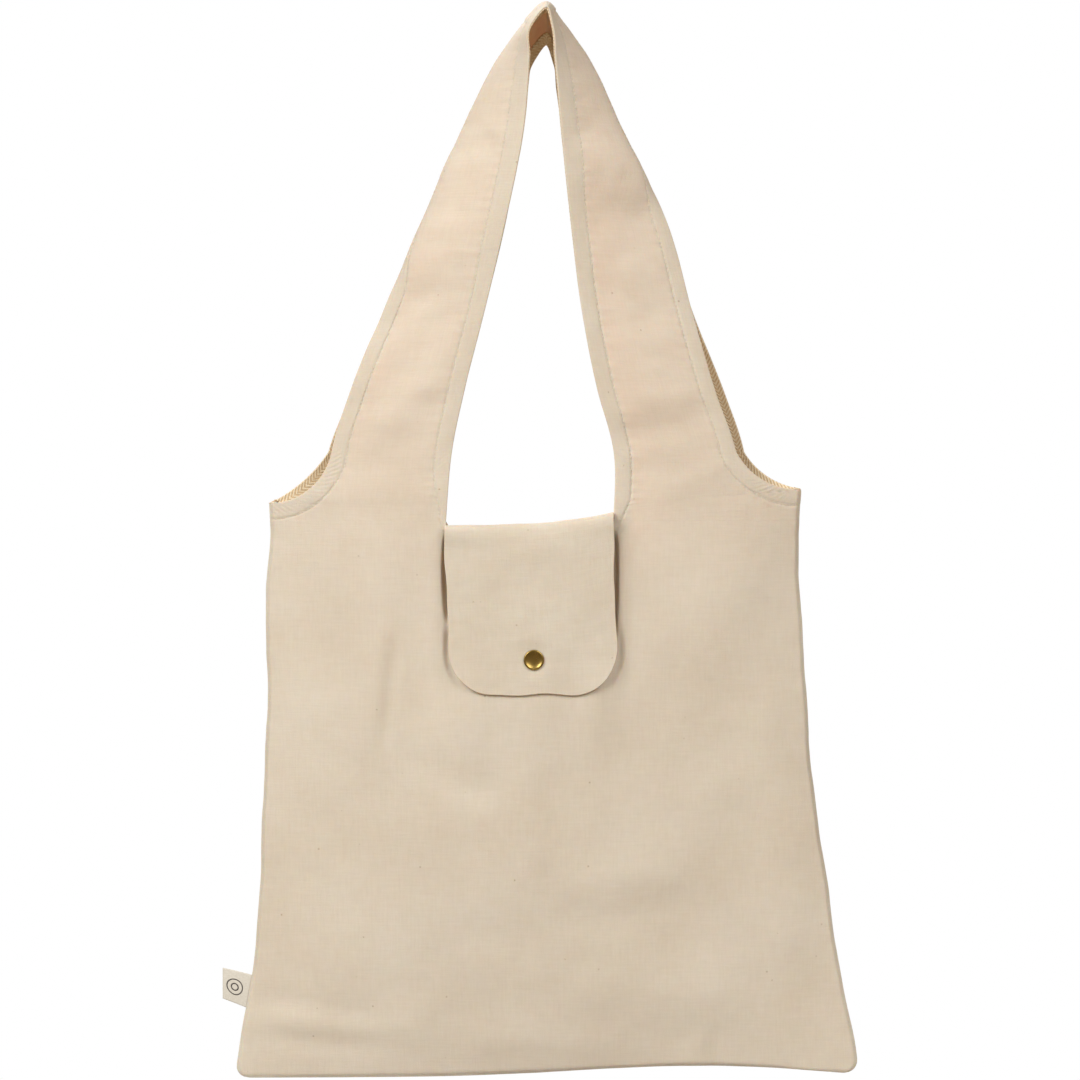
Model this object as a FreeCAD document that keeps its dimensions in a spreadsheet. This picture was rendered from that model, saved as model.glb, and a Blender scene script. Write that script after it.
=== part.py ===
"""Foldable cotton canvas tote bag, hanging from its two shoulder straps.

Frame: millimetres, +Z up, +X to the bag's right, -Y towards its front (the side with the snap flap).
The origin is the hanging point, on the underside of the strap crowns where a hook or a hand carries
the bag.

Every part of the bag is cut from thin cloth, so most pieces are layers of one of two families:
the body layers follow the bulge of the front or the back panel, and the strap layers follow a leg of
a strap.
"""
import FreeCAD
import Part
import math
import os
import Sketcher

V = FreeCAD.Vector
FRONT, BACK = -1, 1
RIGHT, LEFT = 1, -1

# Driving dimensions, in millimetres.
SIZES = {
    "cloth": 0.8,              # canvas
    "tape_thick": 0.6,         # twill tape that faces the inside of every edge
    "tape_width": 11.0,
    "ply_gap": 0.05,           # air between two sewn layers
    "strap_ply_gap": 0.3,      # the same on the straps, whose layers twist
    "seam_half": 1.0,          # half the space that the seam allowances take between the panels
    "seam_width": 9.0,
    "bottom_z": -693.0,
    "bottom_half": 201.0,
    "corner_radius": 13.0,
    "armpit_z": -321.0,
    "armpit_half": 173.0,
    "armhole_radius": 57.0,
    "armhole_x": 184.0,        # centre of the armhole's arc
    "armhole_z": -263.0,
    "strap_base_z": -288.0,
    "strap_base_gap": 0.4,
    "neck_z": -338.0,
    "neck_half": 55.0,
    "neck_corner": 4.0,
    "flap_half": 53.5,
    "flap_top_z": -334.0,
    "flap_drop": 110.0,
    "flap_corner": 30.0,
    "flap_face_y": -35.0,      # outer face of the hanging part of the flap
    "flap_root_y": 25.0,       # where the flap leaves the back panel
    "flap_allowance": 12.0,    # strip by which it is sewn to the back panel
    "snap_z": -422.4,
    "snap_bulge": 28.0,        # inner face of the front panel at the snap
    "cap_radius": 6.5,
    "cap_height": 1.7,
    "barrel_radius": 1.4,
    "barrel_hole": 1.5,
    "socket_radius": 5.6,
    "socket_height": 3.2,
    "socket_bore": 2.8,
    "stud_radius": 5.2,
    "stud_bulb": 2.6,
    "stud_neck": 2.05,
    "stud_height": 2.8,
    "flange": 0.9,
    "spring_wire": 0.22,
    "patch_half": 14.0,
    "label_z": -636.0,
    "label_height": 21.0,
    "label_reach": 17.0,
    "label_thick": 0.35,
    "label_gap": 0.5,
    "label_clear": 1.9,        # from the side seam, so that the label can swing
}

# The body's cross-sections, from the bottom seam up to where the straps start: height, inner bulge, and
# how far the middle lies to the right, because the bag hangs a little askew.
STATIONS = [(-693.0, 2.0, 8.8), (-640.0, 12.0, 8.2), (-590.0, 19.0, 6.4), (-515.0, 26.0, 3.6),
            (-424.0, 28.0, 1.0), (-342.0, 28.0, 0.0), (-287.0, 28.0, 0.0)]

# One strap leg from its base to the crown: z, then x and distance from the middle plane of the
# neck-side edge, then the same of the armhole-side edge. The band turns a quarter turn on the way up,
# so that it lies flat over a hook.
STRAP_STATIONS = [
    (-287.6, 54.5, 26.0, 132.8, 12.4),
    (-250.0, 42.0, 29.0, 120.5, 14.0),
    (-200.0, 31.0, 32.5, 102.0, 13.5),
    (-140.0, 21.0, 36.5, 79.5, 9.0),
    (-80.0, 12.3, 39.5, 53.0, 4.0),
    (-36.0, 8.0, 40.5, 31.0, 1.5),
    (-9.0, 5.5, 40.5, 12.0, 0.6),
    (1.5, 0.0, 40.5, 0.0, 0.6),
]


class Size:
    """A length that holds both its number and the spreadsheet expression that gives it."""

    def __init__(self, value, expression):
        self.value = float(value)
        self.expression = expression

    def _join(self, sign, other, value):
        other = as_size(other)
        return Size(value, f"({self.expression} {sign} {other.expression})")

    def __add__(self, other):
        return self._join("+", other, self.value + as_size(other).value)

    def __sub__(self, other):
        return self._join("-", other, self.value - as_size(other).value)

    def __mul__(self, other):
        return self._join("*", other, self.value * as_size(other).value)

    def __truediv__(self, other):
        return self._join("/", other, self.value / as_size(other).value)

    def __neg__(self):
        return Size(-self.value, f"(-1 * {self.expression})")


def as_size(x):
    return x if isinstance(x, Size) else Size(x, repr(float(x)))


def root(x):
    return Size(math.sqrt(x.value), f"sqrt({x.expression})")


doc = FreeCAD.newDocument("tote_bag")
sheet = doc.addObject("Spreadsheet::Sheet", "sizes")
for row, (alias, number) in enumerate(SIZES.items(), start=1):
    sheet.set(f"A{row}", alias)
    sheet.set(f"B{row}", str(number))
    sheet.setAlias(f"B{row}", alias)
doc.recompute()
D = {alias: Size(sheet.get(alias), f"sizes.{alias}") for alias in SIZES}

nodes = []


def box(name, corner, lengths):
    """A box from its lowest corner."""
    block = doc.addObject("Part::Box", name)
    for prop, size in zip(("Length", "Width", "Height"), lengths):
        block.setExpression(prop, size.expression)
    for axis, size in zip("xyz", corner):
        block.setExpression(f"Placement.Base.{axis}", size.expression)
    return block


def keep(obj, name):
    """Marks an object of the document as a finished piece and gives it the name of its node."""
    obj.Label = name
    nodes.append(obj)
    return obj


def plane_of(body, role):
    return next(o for o in body.Origin.OriginFeatures if o.Role == role)


def new_sketch(name, body=None, role="XY_Plane", placement=None):
    """A sketch in a body on one of its origin planes, or a free one in the XZ plane."""
    if body is None:
        sketch = doc.addObject("Sketcher::SketchObject", name)
        sketch.Placement = placement or FreeCAD.Placement(V(0, 0, 0), FreeCAD.Rotation(V(1, 0, 0), 90))
        return sketch
    sketch = body.newObject("Sketcher::SketchObject", name)
    sketch.AttachmentSupport = [(plane_of(body, role), "")]
    sketch.MapMode = "FlatFace"
    if placement is not None:
        sketch.AttachmentOffset = placement
    return sketch


def bind(sketch, constraint, size):
    """Adds a dimension and ties it to the sheet. Its last argument is the number to start from."""
    index = sketch.addConstraint(constraint)
    sketch.setExpression(f"Constraints[{index}]", size.expression)


def closed_outline(sketch, corners):
    """Draws a closed outline. Each corner is (x, y, radius): the edge from it to the next corner is
    straight where the radius is None, and otherwise an arc of that radius, which bulges to the right
    of the way along it where the radius is positive and to the left where it is negative."""
    first = sketch.GeometryCount
    points = [V(as_size(x).value, as_size(y).value, 0) for x, y, _ in corners]
    for i, (_, _, radius) in enumerate(corners):
        start, end = points[i], points[(i + 1) % len(points)]
        if radius is None:
            sketch.addGeometry(Part.LineSegment(start, end))
            continue
        size = abs(as_size(radius).value)
        chord = end - start
        across = V(chord.y, -chord.x, 0).normalize() * (1 if as_size(radius).value > 0 else -1)
        rise = size - math.sqrt(max(size * size - chord.Length ** 2 / 4, 0.0))
        middle = (start + end) / 2 + across * rise
        sketch.addGeometry(Part.Arc(start, middle, end))
    for i, (x, y, radius) in enumerate(corners):
        here = first + i
        after = first + (i + 1) % len(corners)
        # An arc drawn clockwise is kept counter-clockwise, so its start may be this edge's far end.
        near = 1 if (sketch.getPoint(here, 1) - points[i]).Length < 1e-6 else 2
        next_near = 1 if (sketch.getPoint(after, 1) - points[(i + 1) % len(points)]).Length < 1e-6 else 2
        sketch.addConstraint(Sketcher.Constraint("Coincident", here, 3 - near, after, next_near))
        for kind, size in (("DistanceX", as_size(x)), ("DistanceY", as_size(y))):
            bind(sketch, Sketcher.Constraint(kind, -1, 1, here, near, size.value), size)
        if radius is not None:
            size = as_size(radius)
            size = size if size.value > 0 else -size
            bind(sketch, Sketcher.Constraint("Radius", here, size.value), size)
    return sketch


def circle(sketch, x, y, radius):
    index = sketch.addGeometry(Part.Circle(V(as_size(x).value, as_size(y).value, 0), V(0, 0, 1),
                                           as_size(radius).value))
    bind(sketch, Sketcher.Constraint("DistanceX", -1, 1, index, 3, as_size(x).value), as_size(x))
    bind(sketch, Sketcher.Constraint("DistanceY", -1, 1, index, 3, as_size(y).value), as_size(y))
    bind(sketch, Sketcher.Constraint("Radius", index, as_size(radius).value), as_size(radius))


# ---------------------------------------------------------------- body layers

SIDE_RISE = D["armpit_z"] - D["bottom_z"]
SIDE_FLARE = D["bottom_half"] - D["armpit_half"]
SIDE_RADIUS = (SIDE_RISE * SIDE_RISE + SIDE_FLARE * SIDE_FLARE) / (SIDE_FLARE * 2)


def half_width(z):
    """Half the body's width at a height: straight down at the armpits, then flaring in one long arc."""
    z = as_size(z)
    if z.value > D["armpit_z"].value:
        return D["armpit_half"]
    drop = D["armpit_z"] - z
    return D["armpit_half"] + SIDE_RADIUS - root(SIDE_RADIUS * SIDE_RADIUS - drop * drop)


def middle(z):
    """How far the middle of the body lies to the right at a height."""
    z = as_size(z).value
    for (low, _, start), (high, _, end) in zip(STATIONS, STATIONS[1:]):
        if z <= high:
            return start + (end - start) * max(z - low, 0.0) / (high - low)
    return STATIONS[-1][2]


def body_layer(name, side, inset, thick):
    """A layer of cloth as wide as the bag that follows the front's or the back's bulge.
    inset is how far its outer face lies inside the canvas's inner face; below 0 it is outside it."""
    body = doc.addObject("PartDesign::Body", name)
    sections = []
    for k, (z, bulge, shift) in enumerate(STATIONS):
        half = half_width(z)
        right, left = half + shift, -half + shift
        sag = as_size(bulge) - D["seam_half"]
        radius = (half * half + sag * sag) / (sag * 2)
        sketch = new_sketch(f"{name}_section_{k}", body, "XY_Plane",
                            FreeCAD.Placement(V(0, 0, z), FreeCAD.Rotation()))
        far = (D["seam_half"] - inset) * side
        near = (D["seam_half"] - inset - thick) * side
        # Going right to left along the outer arc, then back along the inner one.
        bow = radius * side
        closed_outline(sketch, [
            (right, far, bow), (left, far, None), (left, near, -bow), (right, near, None),
        ])
        sections.append(sketch)
    loft = body.newObject("PartDesign::AdditiveLoft", f"{name}_loft")
    loft.Profile = sections[0]
    loft.Sections = sections[1:]
    loft.Ruled = False
    body.Tip = loft
    return body


def blank(name, corners, holes=(), depth=120.0):
    """A flat outline in the XZ plane, made thick enough in Y to cut a body layer to shape."""
    sketch = new_sketch(f"{name}_outline")
    closed_outline(sketch, corners)
    for x, z, radius in holes:
        circle(sketch, x, z, radius)
    block = doc.addObject("Part::Extrusion", f"{name}_blank")
    block.Base = sketch
    block.DirMode = "Normal"
    block.LengthFwd = depth / 2
    block.LengthRev = depth / 2
    block.Solid = True
    return block


def cut_out(name, layer, block):
    common = doc.addObject("Part::Common", f"{name}_cloth")
    common.Base = layer
    common.Tool = block
    return common


MARGIN = 12.0


def armhole_edge(radius, z):
    """Where a circle about the armhole's centre meets a height, on the right."""
    rise = z - D["armhole_z"]
    return D["armhole_x"] - root(radius * radius - rise * rise)


def panel_corners():
    """Both panels' outline: bottom, right side, armhole, strap base, neck, and the same on the left."""
    top = D["strap_base_z"] - D["strap_base_gap"]
    armhole = D["armhole_radius"]
    edge = armhole_edge(armhole, top)
    wide = D["bottom_half"] + MARGIN
    corner = D["corner_radius"]
    floor = D["bottom_z"]
    foot_right, foot_left = D["bottom_half"] + middle(floor), -D["bottom_half"] + middle(floor)
    neck, half, turn = D["neck_z"], D["neck_half"], D["neck_corner"]
    right = [
        (foot_right - corner, floor, corner),
        (foot_right, floor + corner, None),
        (wide, floor + corner + MARGIN, None),
        (wide, D["armhole_z"] - armhole, None),
        (D["armhole_x"], D["armhole_z"] - armhole, -armhole),
        (edge, top, None),
        (half, top, None),
        (half, neck + turn, -turn),
        (half - turn, neck, None),
    ]
    left = [
        (-half + turn, neck, -turn),
        (-half, neck + turn, None),
        (-half, top, None),
        (-edge, top, -armhole),
        (-D["armhole_x"], D["armhole_z"] - armhole, None),
        (-wide, D["armhole_z"] - armhole, None),
        (-wide, floor + corner + MARGIN, None),
        (foot_left, floor + corner, corner),
        (foot_left + corner, floor, None),
    ]
    return right + left


def neck_band():
    """The U of tape round the neck, as wide as the tape."""
    top = D["strap_base_z"] - D["strap_base_gap"]
    neck, half, turn, wide = D["neck_z"], D["neck_half"], D["neck_corner"], D["tape_width"]
    inside = 0.5
    return [
        (half + inside, top, None),
        (half + inside, neck + turn, -(turn + inside)),
        (half - turn, neck - inside, None),
        (-half + turn, neck - inside, -(turn + inside)),
        (-half - inside, neck + turn, None),
        (-half - inside, top, None),
        (-half - wide, top, None),
        (-half - wide, neck + turn, turn + wide),
        (-half + turn, neck - wide, None),
        (half - turn, neck - wide, turn + wide),
        (half + wide, neck + turn, None),
        (half + wide, top, None),
    ]


def armhole_band(side):
    """Tape round one armhole, from the strap's base to the side seam."""
    top = D["strap_base_z"] - D["strap_base_gap"]
    small = D["armhole_radius"] + 0.5
    large = D["armhole_radius"] + D["tape_width"]
    middle, high = D["armhole_x"] * side, D["armhole_z"]
    return [
        (armhole_edge(small, top) * side, top, small * side),
        (middle, high - small, None),
        (middle, high - large, large * -side),
        (armhole_edge(large, top) * side, top, None),
    ]


def body_pieces():
    ply, tape, cloth = D["ply_gap"], D["tape_thick"], D["cloth"]
    layers = {}
    for side, word in ((FRONT, "front"), (BACK, "back")):
        layers[word, "canvas"] = body_layer(f"{word}_canvas", side, -cloth, cloth)
        layers[word, "tape"] = body_layer(f"{word}_tape", side, ply, tape)
        holes = [(0.0, D["snap_z"], D["barrel_hole"])] if side == FRONT else []
        block = blank(f"{word}_panel", panel_corners(), holes)
        keep(cut_out(f"{word}_panel", layers[word, "canvas"], block), f"{word}_panel")
        block = blank(f"{word}_neck", neck_band())
        keep(cut_out(f"{word}_neck", layers[word, "tape"], block), f"{word}_neck_tape")

    for side, word in ((LEFT, "left"), (RIGHT, "right")):
        halves = []
        for end in ("front", "back"):
            block = blank(f"{end}_{word}_armhole", armhole_band(side))
            halves.append(cut_out(f"{end}_{word}_armhole", layers[end, "tape"], block))
        # The tape is one length: at the armpit it turns round the side seam from the front to the back.
        long, deep, high = as_size(4.0), D["seam_half"] * 1.9, D["tape_width"] - 2.5
        left_end = D["armpit_half"] - long - 0.6 if side == RIGHT else -D["armpit_half"] + 0.6
        floor = D["armpit_z"] - high + 1.2
        turn = box(f"{word}_tape_turn", (left_end, -deep / 2, floor), (long, deep, high))
        joined = doc.addObject("Part::MultiFuse", f"{word}_armhole_joined")
        joined.Shapes = halves + [turn]
        keep(joined, f"{word}_armhole_tape")

    # The flap is sewn to the back panel through this strip, over the neck tape.
    strip = body_layer("flap_allowance_layer", BACK, ply * 2 + tape, cloth * 2)
    half, neck = D["flap_half"], D["neck_z"]
    low, high = neck - D["flap_allowance"], D["flap_top_z"] - cloth * 2 - ply - 0.6
    block = blank("flap_allowance", [
        (-half, low, None), (half, low, None), (half, high, None), (-half, high, None),
    ])
    keep(cut_out("flap_allowance", strip, block), "flap_seam_allowance")

    # A square of canvas that backs the stud.
    patch_layer = body_layer("patch_layer", FRONT, ply, cloth)
    half, z = D["patch_half"], D["snap_z"]
    block = blank("stud_patch", [(-half, z - half, None), (half, z - half, None), (half, z + half, None),
                                 (-half, z + half, None)], [(0.0, z, D["barrel_hole"])])
    keep(cut_out("stud_patch", patch_layer, block), "stud_patch")


def seam_pieces():
    """Overlocked seam allowances, sandwiched between the two panels along the sides and the bottom."""
    thick = (D["seam_half"] - D["ply_gap"]) * 2
    floor, corner, wide = D["bottom_z"], D["corner_radius"], D["seam_width"]
    right, left = D["bottom_half"] + middle(floor), -D["bottom_half"] + middle(floor)
    outlines = {"bottom_seam_allowance": [
        (right - corner, floor + 0.3, corner),
        (right - 0.3, floor + corner, None),
        (right - wide, floor + corner, None),
        (right - corner, floor + wide, None),
        (left + corner, floor + wide, None),
        (left + wide, floor + corner, None),
        (left + 0.3, floor + corner, corner),
        (left + corner, floor + 0.3, None),
    ]}
    low, high = floor + corner + 0.5, D["armpit_z"] - D["tape_width"] - 1.5
    heights = [low] + [as_size(z) for z, _, _ in STATIONS if low.value < z < high.value] + [high]
    for side, word in ((LEFT, "left"), (RIGHT, "right")):
        outer = [((half_width(z) - 1.2) * side + middle(z), z, None) for z in heights]
        inner = [((half_width(z) - wide) * side + middle(z), z, None) for z in reversed(heights)]
        outlines[f"{word}_side_seam_allowance"] = outer + inner
    for name, corners in outlines.items():
        body = doc.addObject("PartDesign::Body", f"{name}_body")
        sketch = new_sketch(f"{name}_outline", body, "XZ_Plane")
        closed_outline(sketch, corners)
        pad = body.newObject("PartDesign::Pad", f"{name}_pad")
        pad.Profile = sketch
        pad.Midplane = True
        pad.setExpression("Length", thick.expression)
        body.Tip = pad
        keep(body, name)


# ---------------------------------------------------------------- straps


def strap_frames(face, side):
    """For each station of a leg: its neck-side corner, the direction across it, the direction out of its
    inner face, and its width."""
    inner = [V(x * side, y * face, z) for z, x, y, _, _ in STRAP_STATIONS]
    outer = [V(x * side, y * face, z) for z, _, _, x, y in STRAP_STATIONS]
    middle = [(a + b) / 2 for a, b in zip(inner, outer)]
    frames = []
    last = len(middle) - 1
    for k, (a, b) in enumerate(zip(inner, outer)):
        if k == last:
            along = V(-side, 0, 0)
        elif k == 0:
            along = V(0, 0, 1)
        else:
            along = (middle[k + 1] - middle[k - 1]).normalize()
        across = (b - a).normalize()
        along = (along - across * along.dot(across)).normalize()
        inwards = across.cross(along) * (face * side)
        frames.append((a, across, inwards.normalize(), (b - a).Length))
    return frames


def strap_layer(name, face, side, start, width, inset, thick):
    """A loft along one leg. start and width are measured across the band from its neck-side edge, or
    from the armhole-side edge where start is negative; width None is the whole band."""
    body = doc.addObject("PartDesign::Body", f"{name}_body")
    sections = []
    for k, (corner, across, inwards, full) in enumerate(strap_frames(face, side)):
        place = FreeCAD.Placement(corner, FreeCAD.Rotation(across, inwards, across.cross(inwards), "XYZ"))
        sketch = new_sketch(f"{name}_section_{k}", body, "XY_Plane", place)
        low = as_size(start) if start >= 0 else as_size(full + start)
        high = low + width if width is not None else as_size(full)
        near, far = as_size(inset), as_size(inset) + thick
        closed_outline(sketch, [(low, near, None), (high, near, None), (high, far, None), (low, far, None)])
        sections.append(sketch)
    loft = body.newObject("PartDesign::AdditiveLoft", f"{name}_loft")
    loft.Profile = sections[0]
    loft.Sections = sections[1:]
    loft.Ruled = False
    body.Tip = loft
    return keep(body, name)


def strap_pieces():
    """Each strap is two legs that meet at the crown, with tape inside both edges."""
    edge = 0.5
    for face, word in ((FRONT, "front"), (BACK, "back")):
        for side, hand in ((LEFT, "left"), (RIGHT, "right")):
            leg = f"{word}_strap_{hand}"
            strap_layer(leg, face, side, 0.0, None, 0.0, D["cloth"])
            inset = D["cloth"] + D["strap_ply_gap"]
            width = D["tape_width"] - edge
            strap_layer(f"{leg}_neck_tape", face, side, edge, width, inset, D["tape_thick"])
            start = -D["tape_width"].value
            strap_layer(f"{leg}_armhole_tape", face, side, start, width, inset, D["tape_thick"])


# ---------------------------------------------------------------- flap


def flap_pieces():
    """Two layers of canvas from the back of the neck over the mouth and down the front. They bend at the
    front edge of the mouth, so each layer is a top piece and a hanging piece."""
    cloth, ply = D["cloth"], D["ply_gap"]
    half, top, face = D["flap_half"], D["flap_top_z"], D["flap_face_y"]
    for name, depth in (("flap_top_outer", as_size(0.0)), ("flap_top_lining", cloth + ply)):
        front_end = face + 0.3 + depth
        corner = (-half, front_end, top - depth - cloth)
        block = box(f"{name}_box", corner, (half * 2, D["flap_root_y"] - front_end, cloth))
        keep(block, name)
    low, turn = top - D["flap_drop"], D["flap_corner"]
    for name, depth in (("flap_front_outer", as_size(0.0)), ("flap_front_lining", cloth + ply)):
        body = doc.addObject("PartDesign::Body", f"{name}_body")
        # The sketch's plane faces -Y, at the layer's outer face.
        sketch = new_sketch(f"{name}_outline", body, "XZ_Plane")
        sketch.setExpression("AttachmentOffset.Base.z", (-(face + depth)).expression)
        high = top - cloth * 2 - ply - 0.6
        closed_outline(sketch, [
            (-half + turn, low, None),
            (half - turn, low, turn),
            (half, low + turn, None),
            (half, high, None),
            (-half, high, None),
            (-half, low + turn, turn),
        ])
        circle(sketch, 0.0, D["snap_z"], D["barrel_hole"])
        pad = body.newObject("PartDesign::Pad", f"{name}_pad")
        pad.Profile = sketch
        pad.setExpression("Length", cloth.expression)
        pad.Reversed = True
        body.Tip = pad
        keep(body, name)


# ---------------------------------------------------------------- snap fastener


def turned(name, profile):
    """A solid turned about the snap's axis. The profile is (distance towards the front from the
    middle plane, radius) corners, with an optional arc radius for the edge that follows."""
    body = doc.addObject("PartDesign::Body", f"{name}_body")
    sketch = new_sketch(f"{name}_profile", body, "XY_Plane")
    sketch.setExpression("AttachmentOffset.Base.z", D["snap_z"].expression)
    closed_outline(sketch, [(radius, -as_size(out), bow) for out, radius, bow in profile])
    revolution = body.newObject("PartDesign::Revolution", f"{name}_turned")
    revolution.Profile = sketch
    revolution.ReferenceAxis = (sketch, ["V_Axis"])
    revolution.Angle = 360.0
    body.Tip = revolution
    return keep(body, name)


def snap_pieces():
    """A ring-spring snap: cap and socket on the flap, stud and post on the front panel."""
    cloth, ply, flange = D["cloth"], D["ply_gap"], D["flange"]
    barrel, hole = D["barrel_radius"], D["barrel_hole"]
    skin = 0.35
    panel_out = D["snap_bulge"] + cloth
    panel_in = D["snap_bulge"] - ply - cloth - ply

    # Stud: a flange on the panel and a hollow bulb with a waist, which the socket's spring grips.
    seat = panel_out + ply
    rim = seat + flange
    tip = rim + D["stud_height"]
    waist, bulb, bore = D["stud_neck"], D["stud_bulb"], hole
    turned("snap_stud", [
        (seat, bore, None), (seat, D["stud_radius"], None), (rim - 0.3, D["stud_radius"], None),
        (rim, D["stud_radius"] - 0.6, None), (rim, waist + 0.4, None), (rim + 0.6, waist, None),
        (rim + 1.3, bulb, None), (tip - 0.7, bulb, None), (tip, bulb - 0.8, None), (tip, bore, None),
    ])
    # Post: a flange inside the bag whose barrel goes through patch, panel and stud.
    turned("snap_post", [
        (panel_in - ply - flange, 0.0, None), (panel_in - ply - flange, D["stud_radius"] - 0.4, None),
        (panel_in - ply - 0.3, D["stud_radius"] + 0.2, None),
        (panel_in - ply, D["stud_radius"] + 0.2, None),
        (panel_in - ply, barrel, None), (tip - 0.9, barrel, None), (tip - 0.9, 0.0, None),
    ])
    # Socket: a cup on the flap's lining, open towards the bag, with a groove for the ring spring.
    mouth = rim + 0.2
    floor = mouth + D["socket_height"]
    lip, cup = D["socket_bore"], D["socket_radius"]
    groove = lip + 0.5
    turned("snap_socket", [
        (mouth, lip, None), (mouth, cup - 1.6, None), (mouth + 0.9, cup - 0.9, None),
        (floor - 0.6, cup - 0.5, None), (floor - 0.4, cup, None), (floor, cup, None), (floor, hole, None),
        (floor - skin, hole, None), (floor - skin, lip, None), (mouth + 1.3, lip, None),
        (mouth + 1.3, groove, None), (mouth + 0.6, groove, None), (mouth + 0.6, lip, None),
    ])
    # Cap: a shallow dome with a rolled rim and a barrel through both layers of the flap.
    face = -D["flap_face_y"] + ply
    dome, high = D["cap_radius"], D["cap_height"]
    turned("snap_cap", [
        (floor - skin - 0.1, 0.0, None), (floor - skin - 0.1, barrel, None), (face, barrel, None),
        (face, dome - 0.5, None), (face + 0.35, dome, None), (face + 0.8, dome, None),
        (face + 1.15, dome - 0.55, None), (face + 1.05, dome - 1.1, None),
        (face + high * 0.92, dome * 0.45, None), (face + high, 0.0, None),
    ])
    # Ring spring: a wire ring, open at the top, that sits in the groove round the stud's waist.
    ring = doc.addObject("Part::Torus", "ring_spring_wire")
    ring.setExpression("Radius1", (groove - D["spring_wire"] - 0.05).expression)
    ring.setExpression("Radius2", D["spring_wire"].expression)
    ring.Angle3 = 320.0
    quarter = FreeCAD.Rotation(V(1, 0, 0), 90) * FreeCAD.Rotation(V(0, 0, 1), 110)
    ring.Placement = FreeCAD.Placement(V(0, -(mouth.value + 0.95), D["snap_z"].value), quarter)
    keep(ring, "snap_ring_spring")


# ---------------------------------------------------------------- label


def label_piece():
    """A woven ribbon folded in two and caught in the left side seam, as a flat U seen from above."""
    foot = D["label_z"] - D["label_height"] / 2
    near = -(half_width(foot) + D["label_clear"]) + middle(foot)
    far = near - D["label_reach"]
    thick, space = D["label_thick"], D["label_gap"] / 2
    body = doc.addObject("PartDesign::Body", "side_label_body")
    sketch = new_sketch("side_label_profile", body, "XY_Plane")
    sketch.setExpression("AttachmentOffset.Base.z", foot.expression)
    wide = space + thick
    closed_outline(sketch, [
        (near, -wide, None), (near, -space, None),
        (far + wide, -space, -space), (far + thick, 0.0, -space),
        (far + wide, space, None), (near, space, None), (near, wide, None),
        (far + wide, wide, wide), (far, 0.0, wide), (far + wide, -wide, None),
    ])
    pad = body.newObject("PartDesign::Pad", "side_label_pad")
    pad.Profile = sketch
    pad.setExpression("Length", D["label_height"].expression)
    body.Tip = pad
    keep(body, "side_label")


body_pieces()
seam_pieces()
strap_pieces()
flap_pieces()
snap_pieces()
label_piece()
doc.recompute()

failed = [o.Name for o in doc.Objects if "Invalid" in o.State or "Error" in o.State]
if failed:
    raise SystemExit(f"these objects failed to build: {failed}")
for piece in nodes:
    if piece.Shape.isNull() or not piece.Shape.isValid() or not piece.Shape.Solids:
        raise SystemExit(f"{piece.Label} has no valid solid")

os.makedirs("parts", exist_ok=True)
for piece in nodes:
    piece.Shape.exportStep(f"parts/{piece.Label}.step")
    box = piece.Shape.BoundBox
    print(f"{piece.Label}: {len(piece.Shape.Solids)} solid(s), {piece.Shape.Volume:.1f} mm3, "
          f"x {box.XMin:.1f}..{box.XMax:.1f} y {box.YMin:.1f}..{box.YMax:.1f} "
          f"z {box.ZMin:.1f}..{box.ZMax:.1f}")
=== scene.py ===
"""Looks of the foldable canvas tote bag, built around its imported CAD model.

Lengths are worked out in millimetres and turned into metres when a mesh is made.
The bag hangs from the origin. +X is its right, -Y its front, +Z up. FRONT and BACK are the signs of Y.
"""

import math  # noqa: E402

import bpy  # noqa: E402
import numpy as np  # noqa: E402
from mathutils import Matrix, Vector, noise  # noqa: E402
from mathutils.bvhtree import BVHTree  # noqa: E402


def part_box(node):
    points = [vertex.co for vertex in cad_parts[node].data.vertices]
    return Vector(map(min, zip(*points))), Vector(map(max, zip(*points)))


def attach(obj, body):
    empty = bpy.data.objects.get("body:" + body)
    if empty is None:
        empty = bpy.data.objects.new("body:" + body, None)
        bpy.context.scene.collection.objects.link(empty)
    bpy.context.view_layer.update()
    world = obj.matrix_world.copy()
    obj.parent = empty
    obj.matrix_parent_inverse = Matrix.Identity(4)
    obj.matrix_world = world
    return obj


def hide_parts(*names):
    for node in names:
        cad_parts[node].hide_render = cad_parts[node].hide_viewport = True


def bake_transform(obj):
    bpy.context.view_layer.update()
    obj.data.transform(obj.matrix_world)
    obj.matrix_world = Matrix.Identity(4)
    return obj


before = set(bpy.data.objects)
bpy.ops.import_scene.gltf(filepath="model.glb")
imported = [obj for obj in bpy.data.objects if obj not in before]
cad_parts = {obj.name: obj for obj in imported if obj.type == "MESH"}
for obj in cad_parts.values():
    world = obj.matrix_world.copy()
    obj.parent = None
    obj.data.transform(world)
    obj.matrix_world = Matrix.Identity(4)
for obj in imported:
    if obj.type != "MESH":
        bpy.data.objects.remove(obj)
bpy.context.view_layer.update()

MM = 0.001
FRONT, BACK = -1, 1
RIGHT, LEFT = 1, -1
FACE_NAME = {FRONT: "front", BACK: "back"}
HAND_NAME = {LEFT: "left", RIGHT: "right"}
# Thickness of the canvas and of the tape, and how far the stitches of a hem lie from the cloth's edge.
CLOTH = 0.9
TAPE = 0.6
HEM = 10.4

# ---------------------------------------------------------------- small tools


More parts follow.
